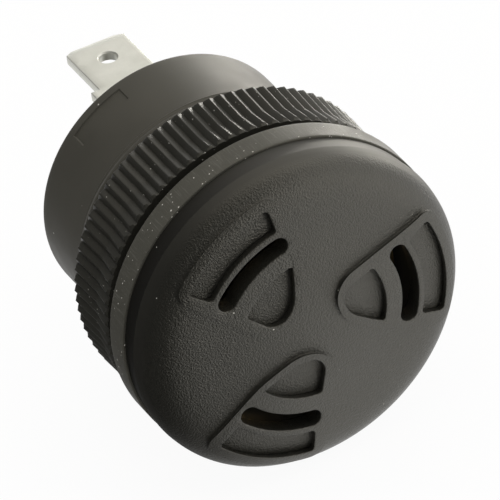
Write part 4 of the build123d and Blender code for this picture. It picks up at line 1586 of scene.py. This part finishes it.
@dataclass
class Lamp:
    """Soft rectangular light, in millimetres.

    Attributes:
        name: Its name.
        place: Where it stands.
        size: Width and height.
        power: Power in watts.
    """

    name: str
    place: tuple[float, float, float]
    size: tuple[float, float]
    power: float

    def build(self) -> None:
        """Adds the light, turned to look at the middle of the alarm."""
        light = bpy.data.lights.new(self.name, "AREA")
        light.shape = "RECTANGLE"
        light.size, light.size_y = self.size[0] * MM, self.size[1] * MM
        light.energy = self.power
        light.color = LAMP_TINT
        lamp = bpy.data.objects.new(self.name, light)
        place = Vector(self.place) * MM
        turn = (-place).to_track_quat("-Z", "Y").to_matrix().to_4x4()
        lamp.matrix_world = Matrix.Translation(place) @ turn
        bpy.context.scene.collection.objects.link(lamp)


@dataclass
class Studio:
    """Pale floor, soft lights and the camera.

    Attributes:
        eye: Where the camera stands, in millimetres.
        right: Direction to the right of the picture.
        down: Direction to the foot of the picture.
        lens: Focal length, in millimetres.
        floor_size: Width of the floor, in millimetres.
        floor_share: Share of the floor's white that hides its shading from the camera.
        floor_way: Direction over the floor in which its reflection grows brighter.
        floor_fade: Where that starts and ends, in millimetres.
        sky_way: Direction in which the reflected world grows brighter.
        sky_fade: Where that starts and ends, as a cosine.
        fade_floor: Brightness of both before that.
        ambient: Brightness of the world as a light.
        lamps: The lamps.
    """

    eye: tuple[float, float, float] = (-196.6, -444.99, 355.86)
    right: tuple[float, float, float] = (0.87562, -0.47059, -0.10875)
    down: tuple[float, float, float] = (-0.35689, -0.47869, -0.80217)
    lens: float = 592.68
    floor_size: float = 2600.0
    floor_share: float = 0.94
    floor_way: tuple[float, float, float] = (0.95, 0.3, 0.0)
    floor_fade: tuple[float, float] = (-16.0, -1.0)
    sky_way: tuple[float, float, float] = (0.75, 0.0, -0.63)
    sky_fade: tuple[float, float] = (-0.5, 0.4)
    fade_floor: float = 0.03
    ambient: float = 0.75
    lamps: tuple[Lamp, ...] = (
        Lamp("right_lamp", (430.0, 400.0, 26.0), (420.0, 66.0), 1.5),
        Lamp("top_lamp", (160.0, 60.0, 480.0), (800.0, 800.0), 1.6),
        Lamp("front_lamp", (270.0, -530.0, 40.0), (220.0, 80.0), 0.45),
    )

    def build(self) -> None:
        """Builds the floor, the world, the lamps and the camera."""
        scene = bpy.context.scene
        scene.view_settings.view_transform = "Standard"
        self._floor()
        self._world()
        for lamp in self.lamps:
            lamp.build()
        data = bpy.data.cameras.new("camera")
        data.lens, data.sensor_width = self.lens, 36.0
        data.clip_start, data.clip_end = 0.01, 20.0
        camera = bpy.data.objects.new("camera", data)
        right, up = Vector(self.right).normalized(), -Vector(self.down).normalized()
        turn = Matrix((right, up, right.cross(up))).transposed().to_4x4()
        camera.matrix_world = Matrix.Translation(Vector(self.eye) * MM) @ turn
        scene.collection.objects.link(camera)
        scene.camera = camera

    @staticmethod
    def _path(bench: Bench) -> tuple[bpy.types.NodeSocket, bpy.types.NodeSocket]:
        """Tells rays apart.

        Args:
            bench: The node tree.

        Returns:
            1 for rays from the camera, and 1 for rays from a gloss or through a glass.
        """
        outputs = bench.node("LightPath").outputs
        either = bench.math("MAXIMUM", outputs["Is Glossy Ray"], outputs["Is Transmission Ray"])
        return outputs["Is Camera Ray"], either

    def _fade(self, bench: Bench, place: bpy.types.NodeSocket, along: tuple[float, float, float],
              span: tuple[float, float]) -> bpy.types.NodeSocket:
        """Works out a level that eases from fade_floor to 1 along a direction.

        Args:
            bench: The node tree.
            place: The point or direction that is measured.
            along: The direction that the level rises in.
            span: Where the rise starts and ends along it.

        Returns:
            The level.
        """
        dot = bench.node("VectorMath", operation="DOT_PRODUCT")
        bench.feed(dot.inputs[0], place)
        bench.feed(dot.inputs[1], along)
        ease = bench.node("MapRange", interpolation_type="SMOOTHSTEP", value=dot.outputs["Value"])
        ends = (*span, self.fade_floor, 1.0)
        for title, number in zip(("From Min", "From Max", "To Min", "To Max"), ends):
            bench.feed(ease.inputs[title], number)
        return ease.outputs[0]

    def _floor(self) -> None:
        """Adds the floor under the alarm: white where it is seen, with the shadow kept."""
        half, low = self.floor_size / 2, CAD_BOUNDS[0][2] / MM
        shell = Shell()
        steps = np.linspace(-half, half, 3)
        x, y = np.meshgrid(steps, steps)
        shell.grid(np.stack([x, y, np.full_like(x, low)], axis=-1), closed=False)
        floor = shell.piece("studio_floor")
        bench = Surface("studio_white")
        floor.data.materials.append(bench.finished(
            {"Base Color": FLOOR_WHITE, "Roughness": 0.9, "Specular IOR Level": 0.1}
        ))
        camera, gloss = self._path(bench)
        span = (self.floor_fade[0] * MM, self.floor_fade[1] * MM)
        fade = self._fade(bench, bench.place, self.floor_way, span)
        glow = bench.node("Emission", color=WHITE, strength=bench.math("MAXIMUM", camera, fade))
        blend = bench.node("MixShader")
        share = bench.math("MAXIMUM", bench.math("MULTIPLY", camera, self.floor_share), gloss)
        for socket, value in zip(blend.inputs, (share, bench.shader.outputs[0], glow.outputs[0])):
            bench.feed(socket, value)
        bench.feed(bench.tree.nodes["Material Output"].inputs["Surface"], blend.outputs[0])

    def _world(self) -> None:
        """Lights the alarm evenly and shows white where the world itself is seen."""
        world = bpy.data.worlds.new("studio_world")
        world.use_nodes = True
        bpy.context.scene.world = world
        bench = Bench(world.node_tree)
        sky = bench.tree.nodes["Background"]
        bench.feed(sky.inputs["Color"], WHITE)
        camera, gloss = self._path(bench)
        way = bench.node("TexCoord").outputs["Generated"]
        fade = self._fade(bench, way, self.sky_way, self.sky_fade)
        level = bench.node("Mix", factor=gloss, a=self.ambient, b=fade).outputs["Result"]
        bench.feed(sky.inputs["Strength"], bench.math("MAXIMUM", level, camera))


# ---- the whole alarm -------------------------------------------------------------------------


def dress_inside() -> None:
    """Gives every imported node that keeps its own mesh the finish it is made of."""
    made = {finish.name: finish.material() for finish in CAD_FINISHES.values()}
    for node, finish in CAD_FINISHES.items():
        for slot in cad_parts[node].material_slots:
            slot.material = made[finish.name]
        LOG.info("%s: kept, in %s", node, finish.name)


def main() -> None:
    """Builds every piece in order, then the studio round it."""
    logging.basicConfig(level=logging.INFO, format="%(name)s: %(message)s")
    blades = [Terminal(side) for side in Side]
    for made in (FrontCover(), PanelGasket(), RingNut(), Housing(), Potting(), *blades):
        made.dress(made.build())
    dress_inside()
    Studio().build()


if __name__ == "__main__":
    main()
